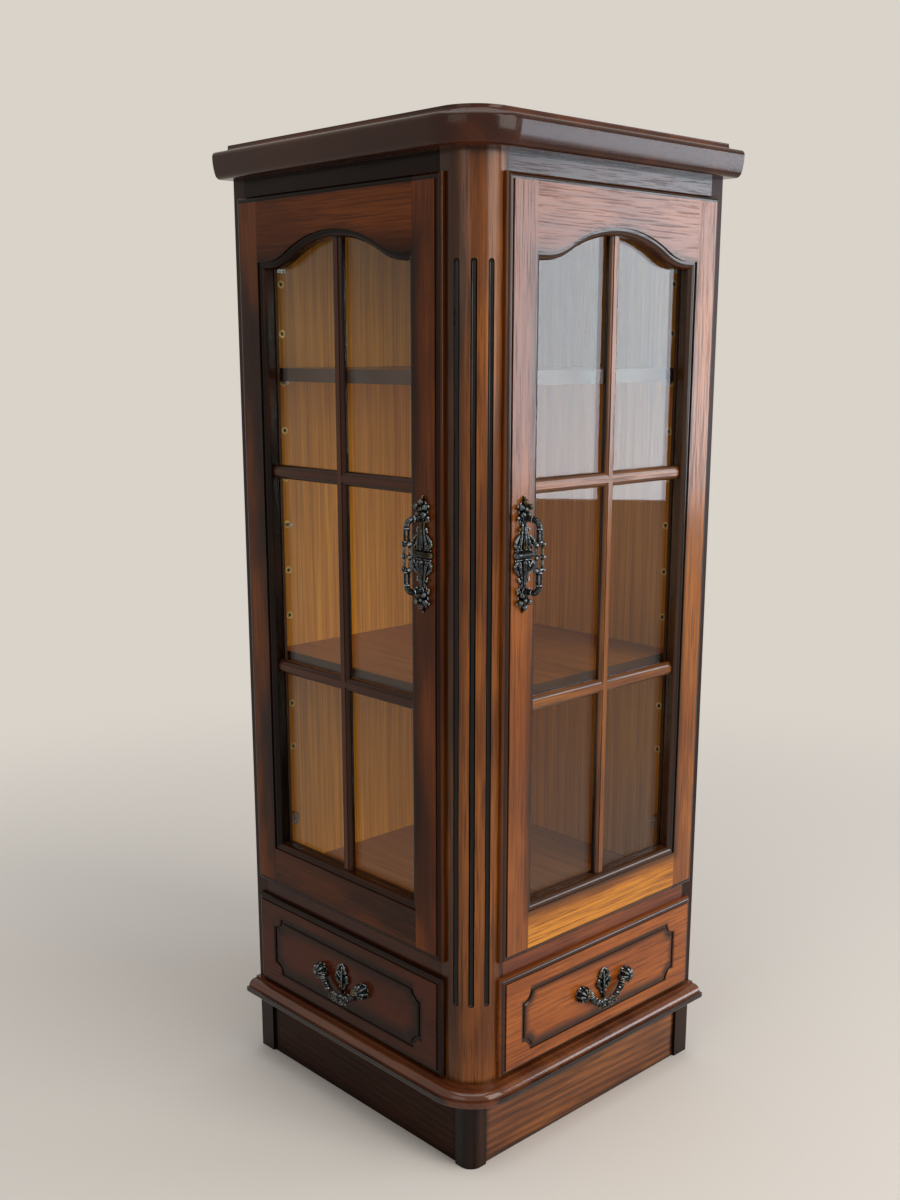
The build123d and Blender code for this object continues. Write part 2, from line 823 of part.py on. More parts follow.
drawer_rest_end = inner_wall - lock_gap
drawer_front = lipped_panel(
    drawer_front_bottom, drawer_front_top,
    drawer_front_bottom + runner_gap, drawer_opening_top - height_gap, drawer_rest_end,
)
groove_places = (
    lip_start + groove_margin_side, lip_end - groove_margin_side,
    drawer_front_bottom + groove_margin_bottom, drawer_front_top - groove_margin_top,
)
groove_ring = facing(scooped_outline(*groove_places, 0), face - groove_depth, face + cut_margin)
groove_ring -= facing(
    scooped_outline(*groove_places, groove_width), face - groove_depth, face + cut_margin,
)
drawer_front -= groove_ring
groove_u0, groove_u1, groove_z0, groove_z1 = groove_places


def runs_round_groove(edge):
    middle = edge @ 0.5
    u = middle.Y + half
    beside = groove_u0 - cut_margin < u < groove_u1 + cut_margin
    return beside and groove_z0 - cut_margin < middle.Z < groove_z1 + cut_margin


front_edges = drawer_front.edges().filter_by_position(Axis.X, half + face, half + face)
groove_edges = [edge for edge in front_edges if runs_round_groove(edge)]
drawer_front = chamfer(groove_edges, groove_chamfer)

# Drawer boxes: the left one is wide and shallow, the right one narrow and deep,
# so that they pass each other inside the carcase, with a partition between them
partition_right = partition_offset + partition_thickness
parts["drawer_partition"] = block(
    -half + wall_thickness, board_edge, partition_offset, partition_right,
    base_top, door_opening_bottom - board_thickness,
)


def drawer_box(u0, u1, depth):
    # Two sides, a back and a bottom panel let into grooves, on the right side
    box_bottom = base_top + runner_height + runner_gap
    box_top = box_bottom + drawer_side_height
    rear = -depth
    panel_low = box_bottom + drawer_panel_height
    panel_high = panel_low + drawer_panel_thickness
    panel_u0 = u0 + drawer_side_thickness - drawer_groove_depth
    panel_u1 = u1 - drawer_side_thickness + drawer_groove_depth
    panel_rear = rear + drawer_side_thickness - drawer_groove_depth
    panel_front = back + drawer_groove_depth
    play = drawer_groove_play
    slot = side_block(
        panel_u0 - play, panel_u1 + play, panel_rear - play, panel_front + play,
        panel_low - play, panel_high + play,
    )
    sides = [
        side_block(u0, u0 + drawer_side_thickness, rear, back, box_bottom, box_top) - slot,
        side_block(u1 - drawer_side_thickness, u1, rear, back, box_bottom, box_top) - slot,
    ]
    rear_panel = side_block(
        u0 + drawer_side_thickness, u1 - drawer_side_thickness, rear, rear + drawer_side_thickness,
        box_bottom, box_top - drawer_back_drop,
    ) - slot
    bottom = side_block(panel_u0, panel_u1, panel_rear, panel_front, panel_low, panel_high)
    return sides, rear_panel, bottom, slot


right_box = drawer_box(
    partition_right + drawer_side_gap + half, inner_wall - drawer_side_gap,
    side - wall_thickness - drawer_back_gap,
)
left_box = drawer_box(
    post_width + drawer_side_gap, inner_wall - drawer_side_gap,
    half + partition_offset - drawer_back_gap,
)
parts["right_drawer_front"] = drawer_front - right_box[3]
parts["right_drawer_sides"] = group(right_box[0])
parts["right_drawer_back"] = right_box[1]
parts["right_drawer_bottom"] = right_box[2]
parts["left_drawer_front"] = left_of(drawer_front - left_box[3])
parts["left_drawer_sides"] = left_of(group(left_box[0]))
parts["left_drawer_back"] = left_of(left_box[1])
parts["left_drawer_bottom"] = left_of(left_box[2])


def runner_pair(u0, u1, depth):
    rear = -depth + runner_width
    level = (base_top, base_top + runner_height)
    return [
        side_block(u0, u0 + runner_width, rear, -front_board_thickness, *level),
        side_block(u1 - runner_width, u1, rear, -front_board_thickness, *level),
    ]


right_runners = runner_pair(
    partition_right + drawer_side_gap + half, inner_wall - drawer_side_gap,
    side - wall_thickness - drawer_back_gap,
)
left_runners = runner_pair(
    post_width + drawer_side_gap, inner_wall - drawer_side_gap,
    half + partition_offset - drawer_back_gap,
)
parts["right_drawer_runners"] = group(right_runners)
parts["left_drawer_runners"] = group([left_of(strip) for strip in left_runners])


# Drawer pulls: two posts on oval feet and an upright leaf fixed to the drawer front,
# and a bail that hangs in the posts and swings up and out
handle_out = face + handle_stand_off
knob_inner = handle_half_spacing - handle_knob_radius
bail_half_span = knob_inner - bail_knob_gap - bail_radius
pin_tip = knob_inner + bail_pin_depth
leaf_points = [
    (0.0, 0.0), (5.0, 7.0), (9.0, 16.0), (6.5, 29.0), (7.5, 46.0),
]


def across(u0, u1, radius):
    seat = plane_across_side(light_centre + min(u0, u1)) * Pos(handle_height, handle_out)
    return extrude(seat * Circle(radius), amount=abs(u1 - u0), dir=(0, 1, 0))


def handle_post(way):
    foot_place = plane_facing_out(face) * Pos(light_centre + way * handle_half_spacing, handle_height)
    oval = Ellipse(handle_foot_half_width, handle_foot_half_height)
    post = extrude(foot_place * oval, amount=handle_foot_thickness, dir=(1, 0, 0))
    post += extrude(foot_place * Circle(handle_neck_radius), amount=handle_stand_off, dir=(1, 0, 0))
    knob_u = light_centre + way * handle_half_spacing - half
    post += Pos(half + handle_out, knob_u, handle_height) * Sphere(handle_knob_radius)
    hole_radius = bail_pin_radius + bail_pin_gap
    return post - across(way * (knob_inner - 1), way * (pin_tip + bail_pin_gap), hole_radius)


leaf_height = handle_leaf_top - handle_leaf_bottom
leaf_right = [
    (light_centre + wide * handle_leaf_half_width / 9, handle_leaf_top - down * leaf_height / 46)
    for wide, down in leaf_points
]
leaf_left = [(2 * light_centre - u, z) for u, z in reversed(leaf_right[1:])]
leaf = facing(outline(*leaf_right, *leaf_left), face, face + handle_leaf_thickness)
add_pair("drawer_pull_posts", group([handle_post(1), handle_post(-1), leaf]))

# The bail is a flat U: two side arcs that run smoothly into one wide bottom arc
side_centre = bail_half_span - bail_side_radius
side_depth = bail_drop - bail_side_radius
bottom_rise = (side_centre ** 2 - side_depth ** 2) / (2 * side_depth)
bottom_radius = bottom_rise + bail_drop
join_u = side_centre * bottom_radius / (bottom_radius - bail_side_radius)
join_z = handle_height + bottom_rise * (1 - bottom_radius / (bottom_radius - bail_side_radius))


def bail_point(u, z):
    return Vector(half + handle_out, light_centre + u - half, z)


def arc_middle(start, end, centre):
    reach_out = ((start - centre) + (end - centre)).normalized() * (start - centre).length
    return centre + reach_out


bail_start = bail_point(-bail_half_span, handle_height)
bail_end = bail_point(bail_half_span, handle_height)
first_join = bail_point(-join_u, join_z)
last_join = bail_point(join_u, join_z)
first_middle = arc_middle(bail_start, first_join, bail_point(-side_centre, handle_height))
last_middle = arc_middle(last_join, bail_end, bail_point(side_centre, handle_height))
bail_low = bail_point(0, handle_height - bail_drop)
bail_path = Wire([
    Edge.make_three_point_arc(bail_start, first_middle, first_join),
    Edge.make_three_point_arc(first_join, bail_low, last_join),
    Edge.make_three_point_arc(last_join, last_middle, bail_end),
])
bail = sweep(Plane(origin=bail_start, z_dir=(0, 0, -1)) * Circle(bail_radius), path=bail_path)
bail += Pos(*bail_low) * Sphere(bail_centre_radius)
for way in (-1, 1):
    bail += Pos(*bail_point(way * bail_half_span, handle_height)) * Sphere(bail_radius)
    bail += across(way * bail_half_span, way * pin_tip, bail_pin_radius)
    scroll = Plane(
        origin=bail_point(way * bail_scroll_offset, handle_height - bail_drop)
        - Vector(bail_scroll_half_width, 0, 0),
        z_dir=(1, 0, 0),
    )
    bail += extrude(scroll * Circle(bail_scroll_radius), amount=2 * bail_scroll_half_width, dir=(1, 0, 0))
add_pair("drawer_pull_bail", bail)

# Write every piece in the cabinet's own frame: the middle of the whole outline stands on the origin
os.makedirs("parts", exist_ok=True)
for name, solid in parts.items():
    export_step(Pos(-shift, shift, 0) * solid, "parts/" + name + ".step")
print("pieces", len(parts), "shift", round(shift, 4), "height", top_of_all)
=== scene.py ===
"""Corner display cabinet in shaded oak: finishes, cast pulls, studio and camera.

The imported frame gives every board, pane and fitting its size and place. This script dresses those
pieces with procedural finishes, and models the cast door pulls and drawer pulls in full relief.
All lengths are metres in the cabinet's frame unless a name says mm: +Z is up, the rounded front
corner points to +X and -Y, the right side faces +X and the left side faces -Y.
"""

from __future__ import annotations

import json
import logging
import math
from dataclasses import dataclass, field, replace
from enum import Enum
from functools import cache
from typing import Any, Sequence

import bmesh
import bpy
from mathutils import Matrix, Vector

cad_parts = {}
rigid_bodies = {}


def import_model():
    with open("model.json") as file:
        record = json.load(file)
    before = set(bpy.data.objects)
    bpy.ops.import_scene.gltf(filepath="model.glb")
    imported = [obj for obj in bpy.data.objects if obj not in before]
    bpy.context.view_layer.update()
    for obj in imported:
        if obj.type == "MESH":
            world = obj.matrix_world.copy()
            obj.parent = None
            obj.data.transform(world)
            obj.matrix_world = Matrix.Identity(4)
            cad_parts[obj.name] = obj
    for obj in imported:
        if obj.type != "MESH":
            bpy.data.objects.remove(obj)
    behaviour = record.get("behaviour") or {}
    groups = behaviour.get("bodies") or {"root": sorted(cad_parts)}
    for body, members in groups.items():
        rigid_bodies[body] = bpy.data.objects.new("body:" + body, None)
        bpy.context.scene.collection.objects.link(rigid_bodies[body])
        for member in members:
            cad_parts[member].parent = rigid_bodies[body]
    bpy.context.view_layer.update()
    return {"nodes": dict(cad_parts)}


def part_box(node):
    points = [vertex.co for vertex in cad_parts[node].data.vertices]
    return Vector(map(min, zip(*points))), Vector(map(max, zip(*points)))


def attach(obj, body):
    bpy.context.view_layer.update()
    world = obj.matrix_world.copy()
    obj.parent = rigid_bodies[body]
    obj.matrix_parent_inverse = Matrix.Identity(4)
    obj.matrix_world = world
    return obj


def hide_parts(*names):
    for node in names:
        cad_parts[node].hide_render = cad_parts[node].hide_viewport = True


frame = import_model()

log = logging.getLogger("cabinet")

MM = 0.001

# The body's plan: half its side, and how far its middle lies from the frame's origin
HALF_SIDE = 0.209
PLAN_SHIFT = 0.01995
FACE_OUT_MM = 9.4

# Farther than any part of the cabinet, in millimetres
FAR_MM = 1e6

Point = Sequence[float]
Tree = bpy.types.NodeTree


class Axis(Enum):
    """An axis of the cabinet's frame, as an index into a vector."""

    X = 0
    Y = 1
    Z = 2


class Side(Enum):
    """The two front sides of the cabinet."""

    RIGHT = "right"
    LEFT = "left"

    @property
    def axes(self) -> tuple[Axis, int, Axis]:
        """The axis that the side looks along, the way along it, and its level axis."""
        return (Axis.X, 1, Axis.Y) if self is Side.RIGHT else (Axis.Y, -1, Axis.X)


def right_place(u_mm: float, z_mm: float, p_mm: float) -> Vector:
    """Place of a point on the right side.

    Args:
        u_mm: distance along the side from the front corner.
        z_mm: height over the floor.
        p_mm: distance outwards from the carcase's side.

    Returns:
        The point in the cabinet's frame, in metres.
    """
    return Vector((
        HALF_SIDE - PLAN_SHIFT + p_mm * MM,
        PLAN_SHIFT - HALF_SIDE + u_mm * MM,
        z_mm * MM,
    ))


# Swaps the right side for the left one, across the upright plane through the front corner
TO_LEFT = Matrix(((0, -1, 0, 0), (-1, 0, 0, 0), (0, 0, 1, 0), (0, 0, 0, 1)))


def linear(hex_colour: str) -> tuple[float, float, float, float]:
    """Turns an sRGB hex colour into linear values with full alpha.

    Args:
        hex_colour: such as "#8c4a22".

    Returns:
        Red, green, blue and alpha.
    """
    values = []
    for start in (1, 3, 5):
        share = int(hex_colour[start:start + 2], 16) / 255
        values.append(share / 12.92 if share <= 0.04045 else ((share + 0.055) / 1.055) ** 2.4)
    return values[0], values[1], values[2], 1.0


def add_node(
    tree: Tree,
    kind: str,
    settings: dict[str, Any] | None = None,
    inputs: dict[Any, Any] | None = None,
) -> bpy.types.Node:
    """Adds a node with its settings, and sets or links its inputs.

    Args:
        tree: the material's or the world's node tree.
        kind: the node's type, such as "ShaderNodeMath".
        settings: attributes of the node.
        inputs: socket names or numbers, each with a value or with the output that feeds it.

    Returns:
        The new node.
    """
    node = tree.nodes.new(kind)
    for name, value in (settings or {}).items():
        setattr(node, name, value)
    for name, value in (inputs or {}).items():
        if isinstance(value, bpy.types.NodeSocket):
            tree.links.new(value, node.inputs[name])
        else:
            node.inputs[name].default_value = value
    return node


def calc(tree: Tree, operation: str, *values: Any, clamp: bool = False) -> Any:
    """Adds a Math node.

    Args:
        tree: the node tree.
        operation: what the node works out.
        values: numbers or outputs, in the order of its inputs.
        clamp: whether the result is kept between 0 and 1.

    Returns:
        Its output.
    """
    node = add_node(tree, "ShaderNodeMath", {"operation": operation, "use_clamp": clamp},
                    dict(enumerate(values)))
    return node.outputs["Value"]


def calc_vector(tree: Tree, operation: str, *values: Any) -> Any:
    """Adds a Vector Math node.

    Args:
        tree: the node tree.
        operation: what the node works out.
        values: vectors or outputs, in the order of its inputs.

    Returns:
        Its output, which is a number for LENGTH.
    """
    node = add_node(tree, "ShaderNodeVectorMath", {"operation": operation}, dict(enumerate(values)))
    return node.outputs["Value" if operation == "LENGTH" else "Vector"]


def fade(
    tree: Tree, value: Any, low: float, high: float, at_low: float = 0.0, at_high: float = 1.0,
    smooth: bool = True,
) -> Any:
    """Maps one range to another, and holds the result at both ends.

    Args:
        tree: the node tree.
        value: the output to map.
        low: where the range starts.
        high: where it ends.
        at_low: the result at its start.
        at_high: the result at its end.
        smooth: whether the change eases in and out.

    Returns:
        The mapped output.
    """
    settings = {"interpolation_type": "SMOOTHSTEP" if smooth else "LINEAR"}
    node = add_node(tree, "ShaderNodeMapRange", settings, {
        "Value": value, "From Min": low, "From Max": high, "To Min": at_low, "To Max": at_high})
    return node.outputs["Result"]


def blend(tree: Tree, factor: Any, first: Any, second: Any) -> Any:
    """Mixes two colours; a factor of 1 gives the second."""
    node = add_node(tree, "ShaderNodeMix", {"data_type": "RGBA"}, {
        "Factor": factor, "A": first, "B": second})
    return node.outputs["Result"]


def object_place(tree: Tree) -> Any:
    """Gives the object coordinates, in metres."""
    return add_node(tree, "ShaderNodeTexCoord").outputs["Object"]


def scaled(tree: Tree, place: Any, scale: Vector, shift: Point = (0.0, 0.0, 0.0)) -> Any:
    """Scales coordinates and then shifts them."""
    node = add_node(tree, "ShaderNodeMapping", None, {
        "Vector": place, "Location": shift, "Scale": scale})
    return node.outputs["Vector"]


def from_point(tree: Tree, place: Any, point_mm: Vector) -> Any:
    """Gives the way from a point, in millimetres."""
    return scaled(tree, place, Vector((1000, 1000, 1000)), -point_mm)


def split(tree: Tree, vector: Any) -> Any:
    """Gives the outputs X, Y and Z of a vector, by name or number."""
    return add_node(tree, "ShaderNodeSeparateXYZ", None, {"Vector": vector}).outputs


def noise(tree: Tree, place: Any, detail: float, roughness: float = 0.5, scale: float = 1.0) -> Any:
    """Adds a cloudy noise."""
    node = add_node(tree, "ShaderNodeTexNoise", None, {
        "Vector": place, "Scale": scale, "Detail": detail, "Roughness": roughness})
    return node.outputs["Fac"]


def waves(
    tree: Tree, place: Any, scale: float, distortion: float, detail: float, detail_scale: float,
    detail_roughness: float = 0.5,
) -> Any:
    """Adds wavy bands, like rings of growth.

    Args:
        tree: the node tree.
        place: the coordinates.
        scale: how close the bands lie.
        distortion: how far they wander.
        detail: how many layers of detail the wandering has.
        detail_scale: how fine these layers are.
        detail_roughness: how strong they are.

    Returns:
        The bands.
    """
    node = add_node(tree, "ShaderNodeTexWave", {"wave_type": "BANDS", "bands_direction": "DIAGONAL"}, {
        "Vector": place, "Scale": scale, "Distortion": distortion, "Detail": detail,
        "Detail Scale": detail_scale, "Detail Roughness": detail_roughness})
    return node.outputs["Fac"]


def bumped(tree: Tree, height: Any, strength: float, depth: float, sunk: bool = False) -> Any:
    """Tilts the surface after a height, in metres; sunk turns the height over."""
    node = add_node(tree, "ShaderNodeBump", {"invert": sunk}, {
        "Strength": strength, "Distance": depth, "Height": height})
    return node.outputs["Normal"]


def surface(tree: Tree, output: bpy.types.Node, inputs: dict[str, Any]) -> None:
    """Shows a Principled shader with some inputs."""
    shader = add_node(tree, "ShaderNodeBsdfPrincipled", None, inputs)
    tree.links.new(shader.outputs["BSDF"], output.inputs["Surface"])


def new_material(name: str) -> tuple[bpy.types.Material, Tree, bpy.types.Node]:
    """Makes an empty material.

    Args:
        name: the material's name.

    Returns:
        The material, its node tree and its output node.
    """
    material = bpy.data.materials.new(name)
    material.use_nodes = True
    tree = material.node_tree
    tree.nodes.clear()
    output = tree.nodes.new("ShaderNodeOutputMaterial")
    return material, tree, output


def dress(piece: bpy.types.Object, material: bpy.types.Material) -> None:
    """Gives a piece one material all over."""
    if not piece.material_slots:
        piece.data.materials.append(material)
    for slot in piece.material_slots:
        slot.material = material


@dataclass(frozen=True)
class Board:
    """How a board lies: what its box is, which way its grain runs and which way it faces.

    Args:
        low: lowest corner of the box that the shading follows.
        high: highest corner of that box.
        grain: the axis that the grain runs along.
        out: the axis that the shown face looks along.
        out_sign: +1 or -1, the way along that axis.
    """

    low: Vector
    high: Vector
    grain: Axis
    out: Axis
    out_sign: int

    @property
    def middle(self) -> Vector:
        """Middle of the box."""
        return (self.low + self.high) / 2

    @property
    def half_mm(self) -> Vector:
        """Half of the box's size, in millimetres."""
        return (self.high - self.low) * 500

    def in_plane(self) -> list[int]:
        """The two axes that lie in the shown face."""
        return [axis.value for axis in Axis if axis is not self.out]


@dataclass(frozen=True)
class ShadedOak:
    """Open-pored oak under stain, with a darker stain sprayed in at the edges, and gloss lacquer.

    Oak's pores are long dark dashes along the grain, over broad bands of growth. The lacquer
    fills them nearly flush, so the eye gets a smooth gloss with a faint ripple. A pore is about
    0.3 mm wide, too fine to show here, so it is drawn 1.8 mm wide.
    """

    name: str
    field_hex: str
    shade_hex: str
    glow_hex: str
    pore_hex: str
    shade_reach_mm: float = 16.0
    shade_power: float = 1.0
    # Darkening below the face, partly pooled stain and partly painted shade: in the quirks, and on the
    # rolled edge
    moulding_dark: float = 0.9
    roll_dark: float = 0.45
    pore_share: float = 0.66
    pore_range: tuple[float, float] = (0.50, 0.64)
    streak_share: float = 0.36
    streak_range: tuple[float, float] = (0.40, 0.68)
    ring_share: float = 0.1
    blotch_range: tuple[float, float] = (0.36, 0.66)
    quirk_mm: tuple[float, float] = (0.3, 1.5)
    roll_mm: tuple[float, float] = (2.5, 3.5)
    pore_width_mm: float = 1.8
    pore_length_mm: float = 70.0
    streak_width_mm: float = 3.6
    streak_length_mm: float = 162.0
    ring_width_mm: float = 9.0
    ring_length_mm: float = 198.0
    blotch_width_mm: float = 54.0
    blotch_length_mm: float = 192.0
    corner_blend: float = 0.6
    ragged_share: float = 1.5
    roughness: float = 0.15
    pore_roughness: float = 0.16
    pore_tilt: float = 0.15
    pore_depth: float = 0.0003
    gloss: float = 0.36

    def stretch(self, board: Board, across_mm: float, along_mm: float) -> Vector:
        """Scale of a pattern that is long along the grain.

        Args:
            board: the board that it is on.
            across_mm: the pattern's size across the grain.
            along_mm: its size along the grain.

        Returns:
            The scale for a Mapping node that starts from metres.
        """
        scale = Vector((1000 / across_mm,) * 3)
        scale[board.grain.value] = 1000 / along_mm
        return scale

    def colour(self, tree: Tree, board: Board) -> tuple[Any, Any]:
        """Builds the stain's colour.

        Args:
            tree: the material's node tree.
            board: how the board lies.

        Returns:
            The colour output and the pore output, which is 1 in a pore.
        """
        place = object_place(tree)
        fine = self.stretch(board, self.pore_width_mm, self.pore_length_mm)
        pore = fade(tree, noise(tree, scaled(tree, place, fine), 3.0, 0.65), *self.pore_range)
        narrow = self.stretch(board, self.streak_width_mm, self.streak_length_mm)
        streaks = noise(tree, scaled(tree, place, narrow, board.middle * 5.0), 4.0, 0.6)
        streak = fade(tree, streaks, *self.streak_range, 0.0, self.streak_share)
        broad = self.stretch(board, self.ring_width_mm, self.ring_length_mm)
        rings = waves(tree, scaled(tree, place, broad, board.middle * 7.0), 0.55, 5.5, 2.5, 0.7, 0.6)
        banding = calc(tree, "MULTIPLY_ADD", rings, self.ring_share, streak, clamp=True)
        cloud = self.stretch(board, self.blotch_width_mm, self.blotch_length_mm)
        blotch = noise(tree, scaled(tree, place, cloud, board.middle * 3.0), 2.0)
        warm = fade(tree, blotch, *self.blotch_range)
        dark = linear(self.pore_hex)
        tone = blend(tree, warm, linear(self.field_hex), linear(self.glow_hex))
        banded = blend(tree, banding, tone, dark)
        pored = blend(tree, calc(tree, "MULTIPLY", pore, self.pore_share), banded, dark)
        shade = self.edge_shade(tree, board, place, blotch)
        return blend(tree, shade, pored, linear(self.shade_hex)), pore

    def edge_shade(self, tree: Tree, board: Board, place: Any, uneven: Any) -> Any:
        """Builds the sprayed shade at the board's edges, with pooled stain and painted shade in its
        mouldings.

        Args:
            tree: the material's node tree.
            board: how the board lies.
            place: the object coordinates.
            uneven: a soft noise that breaks the shade's edge.

        Returns:
            An output that is 1 where the shade is full.
        """
        reach = self.shade_reach_mm
        centred = from_point(tree, place, board.middle * 1000)
        inside = calc_vector(tree, "SUBTRACT", board.half_mm, calc_vector(tree, "ABSOLUTE", centred))
        parts = split(tree, inside)
        first, second = board.in_plane()
        nearest = calc(tree, "SMOOTH_MIN", parts[first], parts[second], reach * self.corner_blend)
        spread = reach * self.ragged_share
        ragged = calc(tree, "MULTIPLY_ADD", uneven, -spread, spread / 2)
        distance = calc(tree, "SUBTRACT", nearest, ragged)
        edge = fade(tree, distance, 0.0, reach, self.shade_power, 0.0)
        # Pooled stain and painted shade down in the mouldings join the sprayed shade
        both = calc(tree, "MAXIMUM", edge, self.pooled_stain_and_painted_shade(tree, board, centred))
        return self.more_shade(tree, board, centred, both)

    def pooled_stain_and_painted_shade(self, tree: Tree, board: Board, centred: Any) -> Any:
        """Builds the darkening below the board's face, pooled stain and painted shade: full in the
        quirks, less on the rolled edge.

        Args:
            tree: the material's node tree.
            board: how the board lies.
            centred: millimetres from the board's middle.

        Returns:
            An output that is 1 where the shade is full.
        """
        axis = board.out.value
        height = split(tree, centred)[axis]
        down = calc(tree, "MULTIPLY_ADD", height, -board.out_sign, board.half_mm[axis])
        quirk = fade(tree, down, *self.quirk_mm, 0.0, self.moulding_dark)
        roll = fade(tree, down, *self.roll_mm, 1.0, self.roll_dark)
        return calc(tree, "MULTIPLY", quirk, roll)

    def more_shade(self, tree: Tree, board: Board, centred: Any, shade: Any) -> Any:
        """Lets a finish add shade of its own.

        Args:
            tree: the material's node tree.
            board: how the board lies.
            centred: millimetres from the board's middle.
            shade: the shade so far.

        Returns:
            The shade to use.
        """
        return shade

    def material(self, key: str, board: Board) -> bpy.types.Material:
        """Builds the finish for one board.

        Args:
            key: the board's name, for the material's name.
            board: how the board lies.

        Returns:
            The material.
        """
        material, tree, output = new_material(f"{self.name}_{key}")
        colour, pore = self.colour(tree, board)
        in_pore = self.roughness + self.pore_roughness
        rough = fade(tree, pore, 0.0, 1.0, self.roughness, in_pore, smooth=False)
        tilt = self.pore_tilt * self.pore_share
        surface(tree, output, {
            "Base Color": colour, "Roughness": rough, "Specular IOR Level": self.gloss,
            "Normal": bumped(tree, pore, tilt, self.pore_depth, sunk=True)})
        return material


@dataclass(frozen=True)
class GroovedOak(ShadedOak):
    """Shaded oak with more shade sprayed along the scooped groove of a drawer front.

    The halo on both sides of the groove gives the eye a raised panel.
    """

    margin_side_mm: float = 37.0
    margin_low_mm: float = 23.0
    margin_high_mm: float = 28.0
    scoop_mm: float = 16.0
    halo_start_mm: float = 1.0
    halo_mm: float = 13.0
    halo_power: float = 0.9
    outer_fade: float = 2.2

    def more_shade(self, tree: Tree, board: Board, centred: Any, shade: Any) -> Any:
        """Adds the halo along the groove.

        Args:
            tree: the material's node tree.
            board: how the board lies.
            centred: millimetres from the board's middle.
            shade: the shade so far.

        Returns:
            The greater of both shades.
        """
        level, upright = board.in_plane()
        reach = Vector((0.0, 0.0, 0.0))
        reach[level] = board.half_mm[level] - self.margin_side_mm
        reach[upright] = board.half_mm[upright] - (self.margin_low_mm + self.margin_high_mm) / 2
        reach[board.out.value] = FAR_MM
        size = calc_vector(tree, "ABSOLUTE", centred)
        parts = split(tree, calc_vector(tree, "SUBTRACT", size, reach))
        box = calc(tree, "MAXIMUM", parts[level], parts[upright])
        flat = add_node(tree, "ShaderNodeCombineXYZ", None, {"X": parts[level], "Y": parts[upright]})
        corner = calc_vector(tree, "LENGTH", flat.outputs["Vector"])
        line = calc(tree, "MAXIMUM", box, calc(tree, "SUBTRACT", self.scoop_mm, corner))
        inwards = calc(tree, "MULTIPLY", line, -1.0)
        away = calc(tree, "MAXIMUM", inwards, calc(tree, "MULTIPLY", line, self.outer_fade))
        halo = fade(tree, away, self.halo_start_mm, self.halo_mm, self.halo_power, 0.0)
        return calc(tree, "MAXIMUM", shade, halo)


@dataclass(frozen=True)
class FrameOak(ShadedOak):
    """Shaded oak of a door's frame, with the shade sprayed round the glazed opening.

    The shade runs across the joints of the frame, so the eye takes stiles and rails as one frame.
    """

    middle_mm: float = 33.45
    half_width_mm: float = 138.5
    light_bottom_mm: float = 309.0
    shoulder_mm: float = 1052.0
    crest_mm: float = 1083.0
    arch_share: float = 0.9
    corner_mm: float = 8.0
    ragged_share: float = 1.6
    inner_share: float = 0.5

    def edge_shade(self, tree: Tree, board: Board, place: Any, uneven: Any) -> Any:
        """Builds the sprayed shade round the door's opening, with pooled stain and painted shade in the
        mouldings.

        Args:
            tree: the material's node tree.
            board: how the board lies.
            place: the object coordinates.
            uneven: a soft noise that breaks the shade's edge.

        Returns:
            An output that is 1 where the shade is full.
        """
        first, second = board.in_plane()
        level = first if second == Axis.Z.value else second
        middle = Vector((0.0, 0.0, 0.0))
        middle[level] = self.middle_mm if board.out is Axis.X else -self.middle_mm
        parts = split(tree, from_point(tree, place, middle))
        sideways = calc(tree, "ABSOLUTE", parts[level])
        arch_half = self.half_width_mm * self.arch_share
        arch = fade(tree, sideways, 0.0, arch_half, self.crest_mm, self.shoulder_mm)
        beside = calc(tree, "SUBTRACT", sideways, self.half_width_mm)
        over = calc(tree, "SUBTRACT", parts["Z"], arch)
        under = calc(tree, "SUBTRACT", self.light_bottom_mm, parts["Z"])
        upright = calc(tree, "MAXIMUM", over, under)
        distance = calc(tree, "SMOOTH_MAX", upright, beside, self.corner_mm)
        reach = self.shade_reach_mm
        spread = reach * self.ragged_share
        ragged = calc(tree, "MULTIPLY_ADD", uneven, spread, -spread / 2)
        broken = calc(tree, "ADD", distance, ragged)
        edge = fade(tree, broken, -reach * self.inner_share, reach, self.shade_power, 0.0)
        # Pooled stain and painted shade down in the mouldings
        sunk = self.pooled_stain_and_painted_shade(tree, board, from_point(tree, place, board.middle * 1000))
        return calc(tree, "MAXIMUM", edge, sunk)


@dataclass(frozen=True)
class FlutedOak(ShadedOak):
    """Shaded oak of the rounded front post, with painted shade: black painted into its flutes.

    The flutes then read as three thin black lines, from any side.
    """

    post_round_mm: float = 38.0
    flute_shade_hex: str = "#020101"
    flute_reach_mm: tuple[float, float] = (37.65, 37.95)
    flute_side_mm: float = 1.0
    flute_low_mm: float = 200.0
    flute_high_mm: float = 1048.0

    def colour(self, tree: Tree, board: Board) -> tuple[Any, Any]:
        """Builds the stain's colour, with black painted shade in the flutes over it.

        Args:
            tree: the material's node tree.
            board: how the post lies.

        Returns:
            The colour output and the pore output, which is 1 in a pore.
        """
        colour, pore = super().colour(tree, board)
        axis = right_place(self.post_round_mm, 0, -self.post_round_mm) * 1000
        parts = split(tree, from_point(tree, object_place(tree), axis))
        flat = add_node(tree, "ShaderNodeCombineXYZ", None, {"X": parts["X"], "Y": parts["Y"]})
        reach = calc_vector(tree, "LENGTH", flat.outputs["Vector"])
        # Painted shade: the flutes are painted black, as shade falls in them
        black = fade(tree, reach, *self.flute_reach_mm, 1.0, 0.0, smooth=False)
        for operation, way, limit in (
            ("GREATER_THAN", "X", self.flute_side_mm), ("LESS_THAN", "Y", -self.flute_side_mm),
            ("GREATER_THAN", "Z", self.flute_low_mm), ("LESS_THAN", "Z", self.flute_high_mm),
        ):
            black = calc(tree, "MULTIPLY", black, calc(tree, operation, parts[way], limit))
        return blend(tree, black, colour, linear(self.flute_shade_hex)), pore
